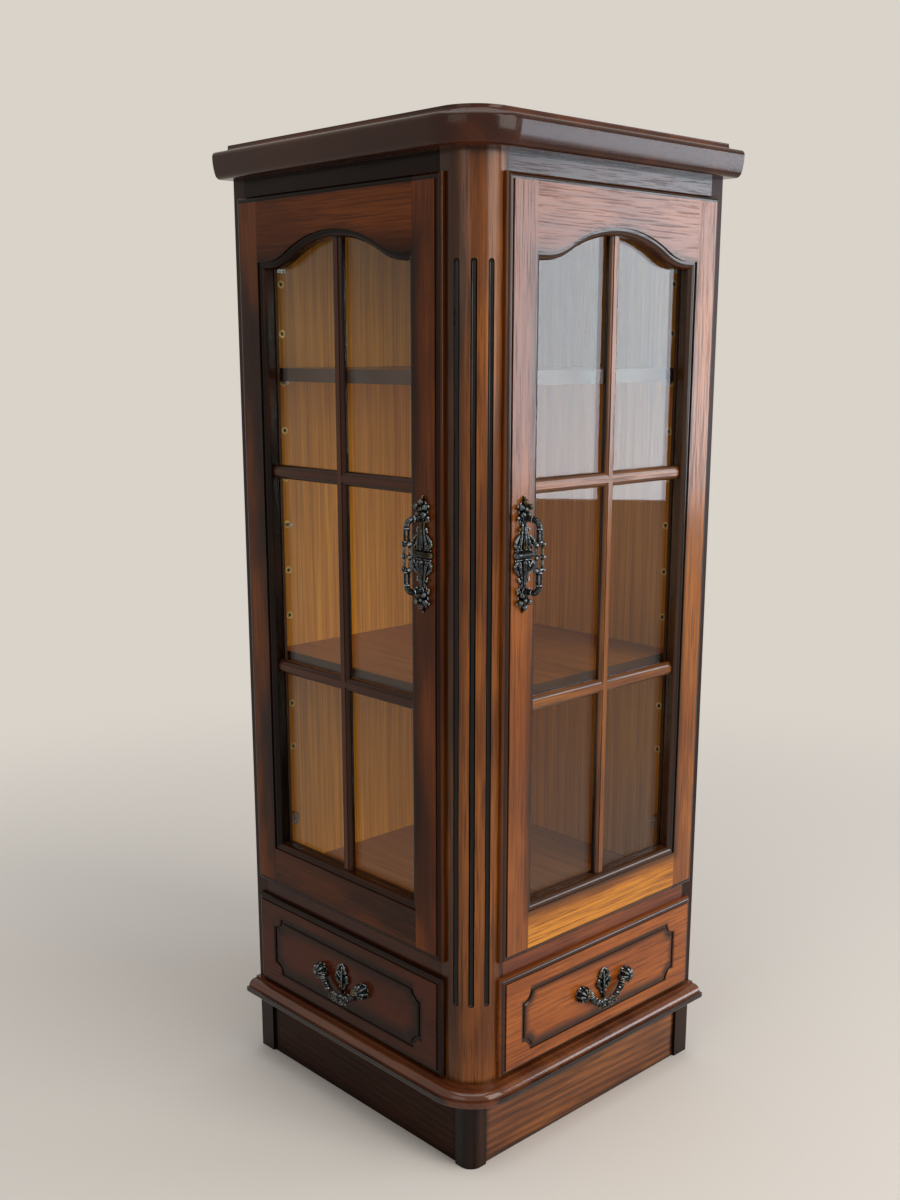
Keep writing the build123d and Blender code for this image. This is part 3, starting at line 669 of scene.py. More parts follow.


# moulding_dark and roll_dark set each finish's pooled stain and painted shade in its mouldings
DOOR_OAK = FrameOak(
    "door_oak", "#7f4317", "#120603", "#99561f", "#3a1808", shade_reach_mm=13.0, shade_power=0.7)
RAIL_OAK = FrameOak(
    "rail_oak", "#86491b", "#100502", "#a36126", "#3d1a09", shade_reach_mm=13.0, shade_power=0.85,
    moulding_dark=1.0, roll_dark=0.8)
ARCH_OAK = FrameOak(
    "arch_oak", "#7a4019", "#130703", "#915020", "#371607", shade_reach_mm=12.0, shade_power=0.7)
GOLD_OAK = FrameOak(
    "gold_oak", "#a86118", "#1c0b04", "#d08526", "#5c2b0b", shade_reach_mm=15.0, shade_power=0.9)
DRAWER_OAK = GroovedOak(
    "drawer_oak", "#944a15", "#150803", "#ab5c1c", "#4a2009", shade_reach_mm=7.0, shade_power=0.25)
BAR_OAK = ShadedOak(
    "bar_oak", "#7f4a23", "#1c0b05", "#955d2e", "#3a1b0c", shade_reach_mm=2.5, moulding_dark=0.5,
    roll_dark=0.8)
FRIEZE_OAK = ShadedOak(
    "frieze_oak", "#381608", "#0f0502", "#4d2310", "#1a0904", shade_reach_mm=8.0)
SILL_OAK = ShadedOak(
    "sill_oak", "#703418", "#1a0904", "#83421e", "#331508", shade_reach_mm=3.0)
POST_OAK = FlutedOak(
    "post_oak", "#6b3a17", "#170903", "#955622", "#331607", shade_reach_mm=8.0, shade_power=0.7,
    moulding_dark=0.0, gloss=0.3)
TOP_OAK = ShadedOak(
    "top_oak", "#4a2312", "#2a120a", "#5c2e18", "#260f07", shade_reach_mm=30.0, shade_power=0.8,
    moulding_dark=0.0, pore_share=0.28, streak_share=0.22, roughness=0.13, gloss=0.24)
BASE_OAK = ShadedOak(
    "base_oak", "#5a2b12", "#1b0a04", "#74401e", "#2b1107", shade_reach_mm=4.0, moulding_dark=0.0,
    pore_share=0.28, streak_share=0.22, roughness=0.1, gloss=0.5)
PLINTH_OAK = ShadedOak(
    "plinth_oak", "#7c4520", "#140603", "#9b5d2b", "#381a0a", shade_reach_mm=9.0, shade_power=0.8,
    ring_share=0.5)
BLOCK_OAK = ShadedOak(
    "block_oak", "#241109", "#0d0502", "#33190e", "#140804", shade_reach_mm=4.0, gloss=0.2)
BACK_OAK = ShadedOak(
    "back_oak", "#5a3320", "#3a2014", "#6d402a", "#3c2013", shade_reach_mm=10.0, roughness=0.5)

# The left side's copies of the finishes are painted darker, with wider edge shade and less gloss:
# painted shade for the side that lies in shade
LEFT_PAINTED_SHADE = {
    "door_oak": {"field_hex": "#57280b", "glow_hex": "#743a12", "shade_reach_mm": 36.0,
                 "shade_power": 1.0, "gloss": 0.14},
    "rail_oak": {"field_hex": "#2f1507", "glow_hex": "#743b10", "shade_reach_mm": 44.0,
                 "shade_power": 1.0, "gloss": 0.14},
    "arch_oak": {"field_hex": "#57290f", "glow_hex": "#733b16", "shade_reach_mm": 24.0,
                 "shade_power": 1.0, "moulding_dark": 1.0, "roll_dark": 0.9, "gloss": 0.1},
    "gold_oak": {"field_hex": "#2b1206", "glow_hex": "#54280d", "shade_reach_mm": 44.0,
                 "shade_power": 1.0, "gloss": 0.14},
    "drawer_oak": {"field_hex": "#371507", "glow_hex": "#4b1f0b", "shade_reach_mm": 12.0,
                   "shade_power": 0.9, "halo_mm": 22.0, "gloss": 0.16},
    "bar_oak": {"field_hex": "#3c1c0d", "glow_hex": "#4f2814", "gloss": 0.2},
    "frieze_oak": {"field_hex": "#1a0804", "glow_hex": "#260e06", "gloss": 0.1},
    "sill_oak": {"field_hex": "#331509", "glow_hex": "#45200e", "gloss": 0.2},
    "plinth_oak": {"field_hex": "#170a04", "glow_hex": "#201007", "shade_reach_mm": 18.0,
                   "gloss": 0.08},
}


def on_side(finish: Any, side: Side) -> Any:
    """Gives one side's version of a finish.

    Args:
        finish: the right side's finish.
        side: the side that it is for.

    Returns:
        The finish; on the left side, its darker copy with painted shade.
    """
    return replace(finish, **LEFT_PAINTED_SHADE.get(finish.name, {})) if side is Side.LEFT else finish


@dataclass(frozen=True)
class VeneeredPanel:
    """Sliced veneer with straight upright grain under satin lacquer.

    Veneer has fine even streaks and none of the solid boards' sprayed shade. The streaks are
    drawn 2 mm wide so that they show.
    """

    name: str
    light_hex: str
    dark_hex: str
    edge_hex: str
    streak_mm: float = 2.0
    length_mm: float = 160.0
    roughness: float = 0.38
    gloss: float = 0.25
    two_fronts: bool = False
    back_hex: str = ""
    back_share: float = 0.82
    back_mm: tuple[float, float] = (0.3, 0.5)
    edge_mm: tuple[float, float] = (0.6, 0.8)
    streak_range: tuple[float, float] = (0.34, 0.68)
    figure_share: float = 0.08
    figure_scale: float = 0.07

    def material(self, key: str, board: Board) -> bpy.types.Material:
        """Builds the finish for one panel.

        Args:
            key: the panel's name, for the material's name.
            board: how the panel lies; its out axis looks along the shown front edge.

        Returns:
            The material.
        """
        material, tree, output = new_material(f"{self.name}_{key}")
        place = object_place(tree)
        scale = Vector((1000 / self.streak_mm,) * 3)
        scale[board.grain.value] = 1000 / self.length_mm
        streak = noise(tree, scaled(tree, place, scale), 5.0, 0.6)
        figure = waves(tree, scaled(tree, place, scale * self.figure_scale), 0.8, 6.0, 3.0, 0.8)
        share = calc(tree, "MULTIPLY_ADD", figure, self.figure_share, self.figure_share / -2)
        spread = fade(tree, calc(tree, "ADD", streak, share), *self.streak_range, smooth=False)
        wood = blend(tree, spread, linear(self.light_hex), linear(self.dark_hex))
        parts = split(tree, from_point(tree, place, board.middle * 1000))
        axis = board.out.value
        down = calc(tree, "MULTIPLY_ADD", parts[axis], -board.out_sign, board.half_mm[axis])
        across = calc(tree, "ADD", parts["Y"], board.half_mm.y if self.two_fronts else FAR_MM)
        nearest = calc(tree, "MINIMUM", down, across)
        edge = fade(tree, nearest, *self.edge_mm, 1.0, 0.0, smooth=False)
        colour = blend(tree, edge, wood, linear(self.edge_hex))
        if self.back_hex:
            colour = self.stain_back(tree, board, parts, colour)
        surface(tree, output, {
            "Base Color": colour, "Roughness": self.roughness, "Specular IOR Level": self.gloss,
            "Normal": bumped(tree, streak, 0.06, 0.0002)})
        return material

    def stain_back(self, tree: Tree, board: Board, parts: Any, front: Any) -> Any:
        """Stains the face that looks away from the cabinet's middle, and the rear end.

        Args:
            tree: the material's node tree.
            board: how the panel lies.
            parts: millimetres from the panel's middle, axis by axis.
            front: the panel's other colours.

        Returns:
            All colours.
        """
        through = sum(axis.value for axis in Axis) - board.grain.value - board.out.value
        axis = board.out.value
        outwards = math.copysign(1.0, board.middle[through])
        depth = calc(tree, "MULTIPLY_ADD", parts[through], -outwards, board.half_mm[through])
        rear = calc(tree, "MULTIPLY_ADD", parts[axis], board.out_sign, board.half_mm[axis])
        nearest = calc(tree, "MINIMUM", depth, rear)
        behind = fade(tree, nearest, *self.back_mm, self.back_share, 0.0, smooth=False)
        return blend(tree, behind, front, linear(self.back_hex))


# Painted light: the wall veneer's colours are lighter than the wood's own, to make up for the shade
# inside the cabinet
WALL_VENEER = VeneeredPanel(
    "wall_veneer", "#f3a130", "#c07016", "#2a1209", gloss=0.15, back_hex="#3d2013")
SHELF_VENEER = VeneeredPanel(
    "shelf_veneer", "#b86a2a", "#874a12", "#4a2410", streak_mm=2.4, two_fronts=True)
FLOOR_VENEER = VeneeredPanel("floor_veneer", "#b9702e", "#8a4f16", "#3c1c0e", streak_mm=2.4)
DRAWER_PINE = VeneeredPanel("drawer_pine", "#cba877", "#b08a58", "#c39d69", streak_mm=3.0)


@dataclass(frozen=True)
class FloatGlass:
    """Clear 3 mm float glass: see-through, with a sharp gloss that grows towards grazing sight."""

    name: str = "float_glass"
    tint_hex: str = "#f7fbf8"
    straight_gloss: float = 0.024
    grazing_power: float = 5.0
    roughness: float = 0.02

    def material(self) -> bpy.types.Material:
        """Builds the pane's material."""
        material, tree, output = new_material(self.name)
        clear = add_node(tree, "ShaderNodeBsdfTransparent", None, {"Color": linear(self.tint_hex)})
        gloss = add_node(tree, "ShaderNodeBsdfGlossy", None, {
            "Color": linear("#ffffff"), "Roughness": self.roughness})
        sight = add_node(tree, "ShaderNodeLayerWeight", None, {"Blend": 0.5}).outputs["Facing"]
        grazing = calc(tree, "POWER", sight, self.grazing_power)
        mirror = calc(tree, "MULTIPLY_ADD", grazing, 1.0 - self.straight_gloss, self.straight_gloss)
        mix = add_node(tree, "ShaderNodeMixShader", None, {
            "Fac": mirror, 1: clear.outputs["BSDF"], 2: gloss.outputs["BSDF"]})
        tree.links.new(mix.outputs["Shader"], output.inputs["Surface"])
        return material


@dataclass(frozen=True)
class AntiquedCasting:
    """Cast zinc alloy, blackened in a bath and rubbed back on the high spots.

    The hollows stay blue-black and the rubbed ridges show a worn silver with a touch of brass.
    """

    name: str = "antiqued_casting"
    hollow_hex: str = "#090c0f"
    worn_hex: str = "#c6d0d6"
    brass_hex: str = "#b39a63"
    metallic: float = 0.9
    roughness: tuple[float, float] = (0.18, 0.34)
    grit_scale: float = 420.0
    grit_share: float = 0.05
    patch_scale: float = 70.0
    patch_range: tuple[float, float] = (0.50, 0.68)
    wear_range: tuple[float, float] = (0.50, 0.57)

    def material(self) -> bpy.types.Material:
        """Builds the casting's material."""
        material, tree, output = new_material(self.name)
        ridge = add_node(tree, "ShaderNodeNewGeometry").outputs["Pointiness"]
        place = object_place(tree)
        grit = noise(tree, place, 3.0, 0.6, self.grit_scale)
        patch = fade(tree, noise(tree, place, 1.0, scale=self.patch_scale), *self.patch_range)
        uneven = calc(tree, "MULTIPLY_ADD", grit, self.grit_share, -self.grit_share / 2)
        rubbed = calc(tree, "ADD", ridge, uneven)
        worn = blend(tree, patch, linear(self.worn_hex), linear(self.brass_hex))
        colour = blend(tree, fade(tree, rubbed, *self.wear_range), linear(self.hollow_hex), worn)
        rough = fade(tree, grit, 0.0, 1.0, *self.roughness, smooth=False)
        surface(tree, output, {
            "Base Color": colour, "Metallic": self.metallic, "Roughness": rough,
            "Normal": bumped(tree, grit, 0.15, 0.0003)})
        return material


@dataclass(frozen=True)
class TurnedMetal:
    """Small turned or pressed metal fittings with a satin surface."""

    name: str
    light_hex: str
    dark_hex: str
    roughness: tuple[float, float]
    cloud_scale: float = 260.0

    def material(self) -> bpy.types.Material:
        """Builds the fitting's material."""
        material, tree, output = new_material(self.name)
        cloud = noise(tree, object_place(tree), 3.0, scale=self.cloud_scale)
        colour = blend(tree, cloud, linear(self.light_hex), linear(self.dark_hex))
        rough = fade(tree, cloud, 0.0, 1.0, *self.roughness, smooth=False)
        surface(tree, output, {"Base Color": colour, "Metallic": 1.0, "Roughness": rough})
        return material


FLOAT_GLASS = FloatGlass()
ANTIQUED_CASTING = AntiquedCasting()
SOCKET_BRASS = TurnedMetal("socket_brass", "#f3dc9a", "#cfa95a", roughness=(0.39, 0.57))
NICKEL_PLATE = TurnedMetal("nickel_plate", "#c9cacb", "#8d8e90", roughness=(0.18, 0.36))


@cache
def shared(finish: Any) -> bpy.types.Material:
    """Gives the one material of a finish that is the same on all its pieces."""
    return finish.material()


@dataclass
class CastingBench:
    """Gathers balls, bars and plates in one mesh in edit mode, then melts them into one casting.

    Places on the bench are (u, z, p) in millimetres: along the side and up from the bench's
    middle, and outwards from the carcase's side.

    Args:
        name: the finished piece's name.
        centre_u: the middle's distance from the front corner.
        centre_z: the middle's height.
        start_p: where the first ball lies, out of the side.
        up_down: whether it is the same above and below its middle.
        voxel_mm: the detail that the melted casting keeps.
    """

    name: str
    centre_u: float
    centre_z: float
    start_p: float
    up_down: bool = False
    voxel_mm: float = 0.45

    def __post_init__(self) -> None:
        """Puts the first ball at the middle, and opens its mesh for editing."""
        bpy.ops.object.select_all(action="DESELECT")
        bpy.ops.mesh.primitive_uv_sphere_add(
            segments=12, ring_count=8, radius=1.2 * MM, location=self.place((0, 0, self.start_p)))
        self.piece = bpy.context.active_object
        self.piece.name = self.name
        bpy.ops.object.mode_set(mode="EDIT")

    def place(self, point: Point) -> Vector:
        """Place of a bench point in the cabinet's frame."""
        return right_place(self.centre_u + point[0], self.centre_z + point[1], point[2])

    def echo(self, count: int, hub: Point) -> None:
        """Copies what is selected round a hub, in equal steps.

        Args:
            count: how many there are in all.
            hub: the bench point that they go round.
        """
        for _ in range(count - 1):
            bpy.ops.mesh.duplicate()
            bpy.ops.transform.rotate(
                value=2 * math.pi / count, orient_axis="X", center_override=self.place(hub))

    def ball(
        self, point: Point, radius: float, sides: int = 12, stretch: Point = (1, 1, 1),
        count: int = 1, hub: Point = (0, 0, 0),
    ) -> None:
        """Adds a ball.

        Args:
            point: its middle.
            radius: in millimetres.
            sides: how many sides it has round its middle.
            stretch: its growth along u, z and p.
            count: how many there are round the hub.
            hub: the point that they go round.
        """
        where = self.place(point)
        bpy.ops.mesh.primitive_uv_sphere_add(
            segments=sides, ring_count=max(6, sides // 2 + 1), radius=radius * MM, location=where)
        if tuple(stretch) != (1, 1, 1):
            along, up, out = stretch
            bpy.ops.transform.resize(value=(out, along, up), center_override=where)
        self.echo(count, hub)

    def bar(
        self, start: Point, end: Point, thick: float, thin: float | None = None, sides: int = 12,
        count: int = 1, hub: Point = (0, 0, 0),
    ) -> None:
        """Adds a straight bar, which may taper.

        Args:
            start: one end.
            end: the other end.
            thick: radius at the start.
            thin: radius at the end, if it differs.
            sides: how many sides it has.
            count: how many there are round the hub.
            hub: the point that they go round.
        """
        first, last = self.place(start), self.place(end)
        run = last - first
        bpy.ops.mesh.primitive_cone_add(
            vertices=sides, radius1=thick * MM, radius2=(thick if thin is None else thin) * MM,
            depth=run.length, location=(first + last) / 2,
            rotation=run.to_track_quat("Z", "Y").to_euler())
        self.echo(count, hub)

    def stroke(
        self, points: Sequence[Point], thick: Sequence[float], count: int = 1,
        hub: Point = (0, 0, 0),
    ) -> None:
        """Adds a tapering rib through some points.

        Args:
            points: the corners of the rib's line.
            thick: the radius at each corner.
            count: how many ribs there are round the hub.
            hub: the point that they go round.
        """
        for point, radius in zip(points, thick):
            self.ball(point, radius, 10, count=count, hub=hub)
        for start, end, fat, thin in zip(points, points[1:], thick, thick[1:]):
            self.bar(start, end, fat, thin, 10, count, hub)

    def ring(self, centre: Point, along: Point, radius: float, thick: float) -> None:
        """Adds a ring round a line.

        Args:
            centre: the ring's middle.
            along: direction of the line that it goes round, as (u, z, p).
            radius: of the ring's own line, in millimetres.
            thick: radius of its section.
        """
        way = Vector((along[2], along[0], along[1]))
        bpy.ops.mesh.primitive_torus_add(
            major_radius=radius * MM, minor_radius=thick * MM, major_segments=20, minor_segments=8,
            location=self.place(centre), rotation=way.to_track_quat("Z", "Y").to_euler())

    def plate(self, rows: Sequence[tuple[float, float]], back: float, front: float) -> None:
        """Adds the right half of a flat plate, whose half width changes with height.

        Args:
            rows: (height, half width) from the lowest to the highest.
            back: the plate's back, out of the side.
            front: the plate's front.
        """
        (low, first_half), (high, _) = rows[0], rows[1]
        middle = self.place((first_half / 2, (low + high) / 2, back))
        bpy.ops.mesh.primitive_plane_add(size=MM, location=middle, rotation=(0, math.pi / 2, 0))
        bpy.ops.transform.resize(value=(1, first_half, high - low), center_override=middle)
        for (here, wide), (above, narrow) in zip(rows, rows[1:]):
            if here is not low:
                bpy.ops.mesh.extrude_edges_move(
                    TRANSFORM_OT_translate={"value": (0, 0, (above - here) * MM)})
            else:
                self.keep_selected_above(self.place((0, (low + high) / 2, back)).z)
            bpy.ops.transform.resize(
                value=(1, narrow / wide, 1), center_override=self.place((0, above, back)))
        bpy.ops.mesh.select_linked()
        bpy.ops.mesh.extrude_region_move(
            TRANSFORM_OT_translate={"value": ((front - back) * MM, 0, 0)})
        bpy.ops.mesh.select_linked()
        bpy.ops.mesh.normals_make_consistent(inside=False)

    def keep_selected_above(self, height: float) -> None:
        """Keeps only the selected vertices over a height, in metres."""
        mesh = bmesh.from_edit_mesh(self.piece.data)
        origin = self.piece.location
        for vertex in mesh.verts:
            vertex.select_set(vertex.select and vertex.co.z + origin.z > height)
        mesh.select_flush_mode()
        bmesh.update_edit_mesh(self.piece.data)

    def melt(self) -> bpy.types.Object:
        """Mirrors what is on the bench and melts it into one closed casting.

        Returns:
            The finished piece, with its place in its mesh.
        """
        bpy.ops.object.mode_set(mode="OBJECT")
        piece = self.piece
        twin = piece.modifiers.new("twin", "MIRROR")
        twin.use_axis = (False, True, self.up_down)
        twin.use_mirror_merge = False
        bpy.ops.object.modifier_apply(modifier=twin.name)
        bpy.ops.object.transform_apply(location=True, rotation=True, scale=True)
        fuse = piece.modifiers.new("fuse", "REMESH")
        fuse.mode = "VOXEL"
        fuse.voxel_size = self.voxel_mm * MM
        bpy.ops.object.modifier_apply(modifier=fuse.name)
        soften = piece.modifiers.new("soften", "SMOOTH")
        soften.factor = 0.5
        soften.iterations = 2
        bpy.ops.object.modifier_apply(modifier=soften.name)
        bpy.ops.object.shade_smooth()
        return piece


def copy_to_left(piece: bpy.types.Object, name: str) -> bpy.types.Object:
    """Copies a piece of the right side to the left side.

    Args:
        piece: the right side's piece.
        name: the copy's name.

    Returns:
        The copy, with its own mesh and its faces turned outwards.
    """
    twin = piece.copy()
    twin.data = piece.data.copy()
    twin.name = name
    bpy.context.scene.collection.objects.link(twin)
    twin.data.transform(TO_LEFT)
    twin.data.flip_normals()
    return twin


@dataclass
class DoorPull:
    """A cast door pull: a plate with two flowers and leafwork, and a bar with an open cage.

    Sizes are millimetres on the right side. One quarter of each casting is modelled and mirrored.
    """

    centre_u: float = 66.7
    centre_z: float = 733.0
    half_length: float = 64.5
    post_offset: float = 40.0
    stand_off: float = 25.0
    bar_radius: float = 3.3
    bend_radius: float = 8.0
    cage_half: float = 14.0
    cage_spread: float = 4.7
    flower_offset: float = 50.0
    plate_thickness: float = 1.7
    plate_rows: list[tuple[float, float]] = field(default_factory=lambda: [
        (-0.4, 13.4), (5.0, 13.4), (9.5, 13.6), (13.0, 13.0), (17.0, 10.4), (21.0, 6.6), (25.0, 5.4),
        (32.0, 4.2), (38.0, 5.8), (43.0, 6.8), (50.0, 8.6), (56.0, 5.6), (60.0, 2.2), (64.5, 0.4)])

    def add_flower(self, bench: CastingBench, face: float) -> None:
        """Adds the flower, its pointed tip and the small leaves under it."""
        z, hub = self.flower_offset, (0, self.flower_offset, 0)
        bench.stroke(
            [(0, z + 3.0, face + 1.6), (0, z + 7.4, face + 2.6), (0, z + 10.6, face + 1.0)],
            [1.8, 3.7, 1.9], 5, hub)
        bench.ball((0, z, face + 2.6), 2.8)
        bench.stroke(
            [(0, z + 6.0, face + 0.6), (0, self.half_length - 3.5, face + 0.6),
             (0, self.half_length, face - 0.5)], [3.2, 2.0, 0.7])
        bench.stroke(
            [(6.0, z - 8.0, face + 0.4), (9.6, z - 9.0, face + 0.8), (10.2, z - 12.0, face + 0.2)],
            [1.4, 1.9, 1.1])

    def add_leafwork(self, bench: CastingBench, face: float) -> None:
        """Adds the stem and the leaves that curl outwards at the middle band."""
        bench.stroke(
            [(0, 41, face + 0.8), (0, 30, face + 1.0), (0, 20, face + 1.6), (0, 9, face + 1.6)],
            [2.4, 1.8, 2.6, 3.2])
        bench.stroke(
            [(3.0, 36, face + 0.4), (3.4, 26, face + 0.8), (5.4, 18.5, face + 1.2),
             (7.2, 12.5, face + 1.4), (6.8, 8.4, face + 1.0)], [1.0, 1.3, 1.9, 2.5, 1.9])
        bench.stroke(
            [(6.0, 22.5, face + 0.2), (9.8, 19.6, face + 0.8), (13.4, 15.6, face + 1.0),
             (14.4, 11.2, face + 1.2), (12.0, 8.2, face + 1.4), (10.0, 10.2, face + 1.8)],
            [0.9, 1.5, 2.2, 2.3, 1.9, 1.5])
        bench.stroke(
            [(4.6, 30.5, face + 0.2), (7.2, 28.4, face + 0.8), (8.2, 25.0, face + 0.6)], [0.9, 1.5, 0.9])
        bench.stroke(
            [(2.0, 43.0, face + 0.4), (6.4, 41.2, face + 1.0), (8.6, 37.4, face + 0.6)], [1.4, 2.0, 1.1])

    def make_plate(self) -> bpy.types.Object:
        """Models the plate.

        Returns:
            The finished plate.
        """
        face = FACE_OUT_MM + self.plate_thickness
        bench = CastingBench(
            "right_door_pull_plate_cast", self.centre_u, self.centre_z, face, up_down=True)
        bench.plate(self.plate_rows, FACE_OUT_MM, face)
        self.add_flower(bench, face)
        self.add_leafwork(bench, face)
        bench.bar((-0.5, 0, face + 0.2), (12.0, 0, face + 0.2), 3.9, sides=24)
        bench.ball((12.0, 0, face + 0.2), 3.9, 24)
        bench.bar((-0.5, 5.6, face - 0.2), (13.4, 5.6, face - 0.2), 1.1)
        return bench.melt()

    def make_grip(self) -> bpy.types.Object:
        """Models the standing bar with its cage.

        Returns:
            The finished grip.
        """
        out = FACE_OUT_MM + self.stand_off
        foot = FACE_OUT_MM + self.plate_thickness
        bench = CastingBench(
            "right_door_pull_grip_cast", self.centre_u, self.centre_z, out, up_down=True)
        bend, radius, post = self.bend_radius, self.bar_radius, self.post_offset
        bench.bar((0, post, foot), (0, post, out - bend), radius + 0.5, radius)
        for level, thick in ((foot + 2.6, 1.2), (out - bend - 1.0, 0.9)):
            bench.ring((0, post, level), (0, 0, 1), radius + 0.1, thick)
        arc = []
        for step in range(6):
            turn = math.radians(90 * step / 5)
            arc.append((0, post - bend * (1 - math.cos(turn)), out - bend * (1 - math.sin(turn))))
        bench.stroke(arc, [radius + 0.1] * len(arc))
        cage = self.cage_half
        bench.bar((0, post - bend, out), (0, cage, out), radius - 0.4)
        for level in (-1.8, 1.8):
            bench.bar((1.8, post - bend - 1, out + level), (1.8, cage + 3, out + level), 1.2, sides=8)
        bench.ring((0, post - bend - 1.2, out), (0, 1, 0), radius - 0.3, 0.9)
        bench.ring((0, cage + 2.8, out), (0, 1, 0), radius - 0.2, 1.1)
        spread = self.cage_spread
        bench.bar((-0.5, cage, out), (spread, cage, out), 2.3)
        bench.bar((-0.5, 0, out), (spread, 0, out), 1.7)
        bench.bar((spread, -0.5, out), (spread, cage, out), 1.6)
        for height, size in ((0.0, 2.8), (cage, 3.2)):
            bench.ball((spread, height, out), size)
            bench.ball((spread + 0.9, height, out + 1.9), 1.8)
        return bench.melt()

    def build(self) -> None:
        """Builds both doors' pulls, which ride on their doors."""
        plate, grip = self.make_plate(), self.make_grip()
        settle_pair(plate, "door_pull_plate", "door")
        settle_pair(grip, "door_pull_grip", "door")


@dataclass
class DrawerPull:
    """A cast drawer pull: two shell-like posts, an upright leaf and a swinging bail.

    Sizes are millimetres on the right side. One half of each casting is modelled and mirrored.
    """

    centre_u: float = 222.5
    height: float = 171.0
    half_spacing: float = 41.0
    stand_off: float = 7.5
    drop: float = 23.0
    half_span: float = 30.5
    side_radius: float = 18.0
    leaf_top: float = 22.0
    leaf_bottom: float = -18.0
    leaf_rows: list[tuple[float, float]] = field(default_factory=lambda: [
        (-18.0, 3.2), (-8.0, 4.6), (-3.0, 8.6), (4.0, 11.4), (9.0, 8.4), (13.0, 8.0), (18.0, 4.8),
        (22.0, 0.8)])

    def make_posts(self) -> bpy.types.Object:
        """Models the posts and the leaf.

        Returns:
            The finished posts.
        """
        face = FACE_OUT_MM
        bench = CastingBench("right_drawer_pull_posts_cast", self.centre_u, self.height, face + 1.0)
        u = self.half_spacing
        hub = (u, 0, 0)
        bench.ball((u, 0, face + 2.5), 7.0, 24, (1.3, 1.3, 1.35))
        bench.ball((u, 0, face + 1.0), 7.4, 24, (1.4, 1.4, 0.4))
        bench.stroke(
            [(u, 3.0, face + 11.4), (u, 7.4, face + 8.6), (u, 9.8, face + 3.0)], [1.5, 2.2, 1.6], 8, hub)
        bench.ball((u, 0, face + 11.6), 3.6, 16)
        bench.ring((u, 0, face + 10.8), (0, 0, 1), 4.2, 0.9)
        self.add_leaf(bench, face)
        return bench.melt()

    def add_leaf(self, bench: CastingBench, face: float) -> None:
        """Adds the upright three-lobed leaf between the posts, flat against the drawer."""
        top, low = self.leaf_top, self.leaf_bottom
        bench.plate(self.leaf_rows, face, face + 1.1)
        bench.stroke(
            [(0, low, face + 1.4), (0, -6, face + 2.4), (0, 4, face + 2.8), (0, top - 5, face + 2.0)],
            [2.2, 2.0, 1.7, 1.0])
        bench.stroke(
            [(1.0, -5.0, face + 1.4), (7.0, -4.2, face + 2.2), (11.4, 1.6, face + 2.2),
             (9.6, 7.4, face + 2.0), (5.4, 4.0, face + 1.8)], [1.3, 2.2, 2.6, 2.1, 1.3])
        bench.stroke(
            [(3.4, 9.4, face + 1.4), (7.8, 12.8, face + 2.2), (5.0, 18.4, face + 2.0),
             (0.2, top, face + 1.0)], [1.5, 2.4, 2.0, 0.8])
        bench.stroke(
            [(1.6, -14, face + 1.4), (3.8, -10.0, face + 1.8), (5.6, -7.0, face + 1.4)], [1.1, 1.7, 1.2])

    def line(self) -> list[tuple[float, float]]:
        """Centre line of the bail's right half, from its pin to its lowest point.

        Returns:
            (sideways, height over the lowest point) along the line.
        """
        side_centre = self.half_span - self.side_radius
        depth = self.drop - self.side_radius
        rise = (side_centre ** 2 - depth ** 2) / (2 * depth)
        wide = rise + self.drop
        join = math.atan2(side_centre, rise)
        points = []
        for step in range(7):
            turn = (math.pi / 2 - join) * step / 6
            points.append((side_centre + self.side_radius * math.cos(turn),
                           self.drop - self.side_radius * math.sin(turn)))
        for step in range(1, 4):
            turn = join * (1 - step / 3)
            points.append((wide * math.sin(turn), self.drop + rise - wide * math.cos(turn)))
        return points

    def make_bail(self) -> bpy.types.Object:
        """Models the swinging bail.

        Returns:
            The finished bail.
        """
        out = FACE_OUT_MM + self.stand_off
        low = self.height - self.drop
        bench = CastingBench("right_drawer_pull_bail_cast", self.centre_u, low, out)
        points = self.line()
        thick = (2.6, 3.0, 3.6, 4.2, 4.6, 4.4, 3.9, 3.5, 3.4, 3.8)
        bench.stroke([(across, up, out) for across, up in points], thick)
        for index in (0, 1, 2):
            here, there = points[index], points[index + 1]
            way = (there[0] - here[0], there[1] - here[1], 0)
            bench.ring((here[0], here[1], out), way, thick[index], 0.9)
        bench.bar((self.half_span - 1, self.drop, out), (self.half_span + 9.0, self.drop, out), 1.5)
        bench.ball((0, 0.8, out + 2.4), 4.0, 16)
        bench.stroke(
            [(1.5, 4.2, out + 2.4), (7.0, 6.6, out + 2.8), (13.0, 4.8, out + 2.0)], [1.8, 2.4, 1.6])
        bench.ring((7.2, -0.8, out + 2.4), (0, 0, 1), 3.4, 1.7)
        bench.ball((7.2, -0.8, out + 2.8), 1.7)
        bench.stroke(
            [(13.6, 2.0, out + 2.2), (15.4, -1.6, out + 2.0), (13.0, -4.0, out + 1.2)], [1.5, 2.0, 1.3])
        bench.stroke([(1.4, -1.0, out + 2.4), (2.2, -5.4, out + 1.4)], [1.7, 1.5])
        bench.stroke(
            [(17.0, 9.0, out + 3.0), (21.4, 7.0, out + 2.8), (20.6, 3.4, out + 1.8)], [1.3, 1.9, 1.2])
        bench.stroke(
            [(22.0, 14.0, out + 2.6), (26.6, 11.6, out + 2.2), (26.0, 8.4, out + 1.2)], [1.2, 1.7, 1.1])
        return bench.melt()

    def build(self) -> None:
        """Builds both drawers' pulls: posts that ride on the drawers, and bails of their own."""
        settle_pair(self.make_posts(), "drawer_pull_posts", "drawer")
        settle_pair(self.make_bail(), "drawer_pull_bail", "bail")


